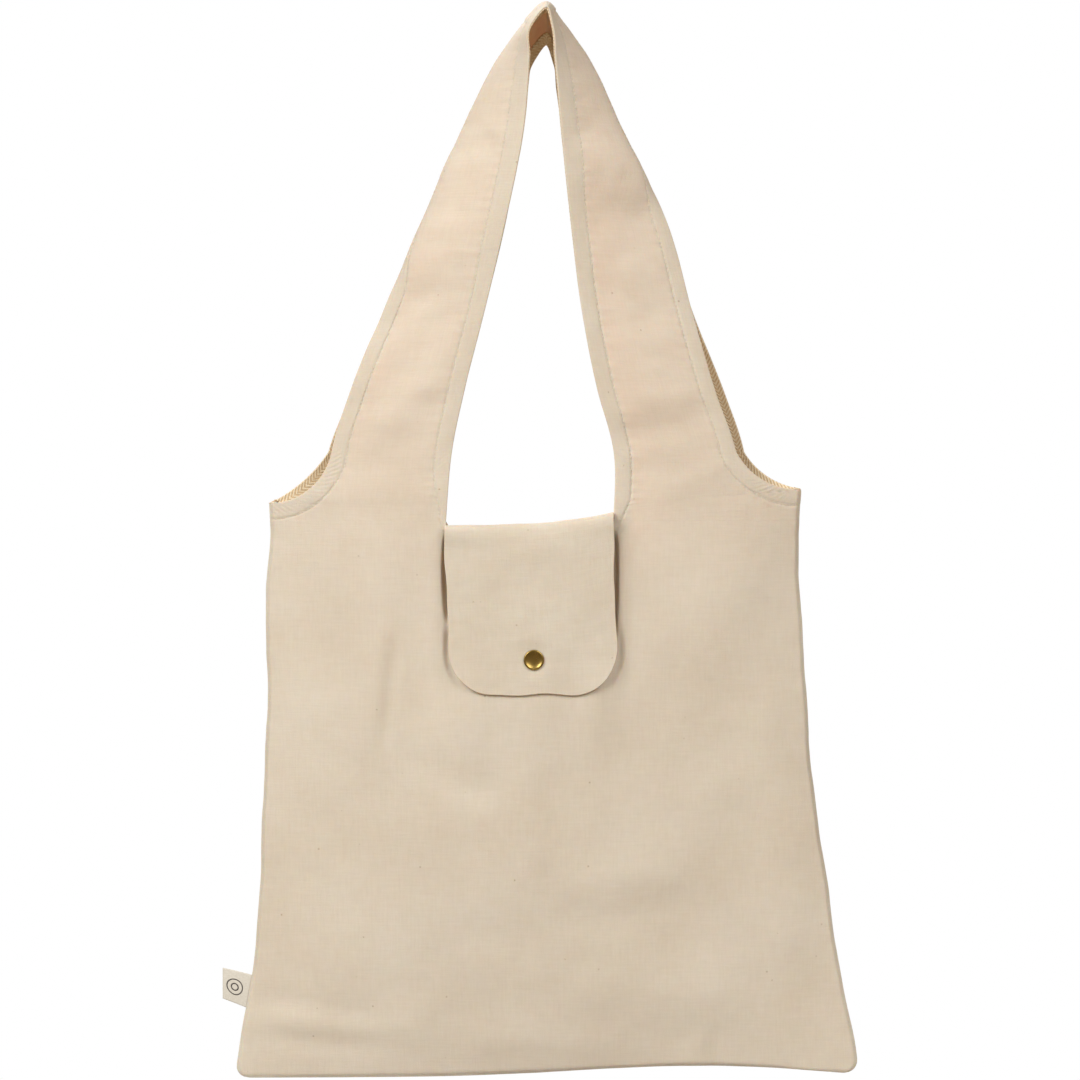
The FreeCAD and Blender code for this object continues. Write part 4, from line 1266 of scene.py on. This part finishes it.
canvas = {face: make_canvas(face) for face in (FRONT, BACK)}
for face, piece in canvas.items():
    # The inner face of each panel gets the copy of the canvas with painted shade.
    dress(piece["object"], cloth_material, painted_shade_material)
    stitching = hem_stitches(face, piece)
    dress(stitching, stitch_material)
    tape = neck_tape(face, piece)
    dress(tape, tape_material)
    for hand in (LEFT, RIGHT):
        tape = armhole_tape(face, hand, piece)
        dress(tape, tape_material)

flap = make_flap()
for part in ("outer", "root_outer"):
    dress(flap[part], cloth_material)
# The flap's lining gets the copy of the canvas with painted shade.
for part in ("lining", "root_lining"):
    dress(flap[part], painted_shade_lining_material)

for obj, length in zip(make_seams(), (0.354, 0.354, 0.375)):
    dress(obj, seam_material)
patch = make_patch()
dress(patch, cloth_material)
ribbon, mark = make_label(), label_mark()
dress(ribbon, ribbon_material())
dress(mark, ink_material())

# The cap, socket, stud and post get the brass whose colour holds patina and painted shade.
dress(make_cap(), patina_and_shade_brass)
for node in ("snap_socket", "snap_stud", "snap_post"):
    dress(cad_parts[node], patina_and_shade_brass)
dress(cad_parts["snap_ring_spring"], spring_metal)

# ---------------------------------------------------------------- camera, light, floor

# Height of the camera, which looks level at the bag.
EYE_Z = -0.3458


def place(name, data, location=(0, 0, 0)):
    obj = bpy.data.objects.new(name, data)
    obj.location = location
    bpy.context.scene.collection.objects.link(obj)
    return obj


def area_light(name, location, target_z, power, width, height, colour):
    """A soft light that points at the bag."""
    data = bpy.data.lights.new(name, "AREA")
    data.shape, data.size, data.size_y = "RECTANGLE", width, height
    data.energy, data.color = power, colour
    way = Vector((0, 0, target_z)) - Vector(location)
    place(name, data, location).rotation_euler = way.to_track_quat("-Z", "Y").to_euler()


def studio_world():
    """A white backdrop as the camera sees it, and a dimmer, warmer glow as light on the bag."""
    world = bpy.data.worlds.new("studio")
    world.use_nodes = True
    bpy.context.scene.world = world
    nodes, links = world.node_tree.nodes, world.node_tree.links
    seen = nodes.new("ShaderNodeLightPath").outputs["Is Camera Ray"]
    tint = nodes.new("ShaderNodeMix")
    tint.data_type = "RGBA"
    tint.inputs[6].default_value = (1.0, 0.77, 0.52, 1)
    tint.inputs[7].default_value = (1, 1, 1, 1)
    strength = nodes.new("ShaderNodeMapRange")
    strength.inputs["To Min"].default_value = 0.21
    strength.inputs["To Max"].default_value = 1.0
    links.new(seen, tint.inputs[0])
    links.new(seen, strength.inputs["Value"])
    links.new(tint.outputs[2], nodes["Background"].inputs["Color"])
    links.new(strength.outputs["Result"], nodes["Background"].inputs["Strength"])


def pale_floor():
    """A round pale floor well under the bag."""
    radius, height, corners = 0.9, -1.4, 96
    angles = [k * 2 * math.pi / corners for k in range(corners)]
    mesh = bpy.data.meshes.new("floor")
    mesh.from_pydata([(radius * math.cos(a), radius * math.sin(a), height) for a in angles], [],
                     [list(range(corners))])
    look = Nodes("pale floor")
    look.set(Base_Color=(0.66, 0.65, 0.64), Roughness=0.8)
    mesh.materials.append(look.material)
    return place("floor", mesh)


camera = place("camera", bpy.data.cameras.new("camera"), (3.9 * MM, -2.0, EYE_Z))
camera.data.lens = 102.6
camera.data.sensor_width = 36
camera.rotation_euler = (math.radians(90), 0, 0)
bpy.context.scene.camera = camera
area_light("key", (-2.3, -2.65, 1.75), -0.3, 134, 2.2, 2.0, (0.94, 0.955, 0.99))
area_light("fill", (1.85, -3.0, 1.65), -0.3, 82, 2.5, 2.0, (0.95, 0.955, 0.99))
area_light("rear", (-1.2, 3.6, 1.9), -0.34, 170, 3.0, 2.4, (0.97, 0.97, 1.0))
studio_world()
floor = pale_floor()
bpy.context.scene.view_settings.view_transform = "Standard"
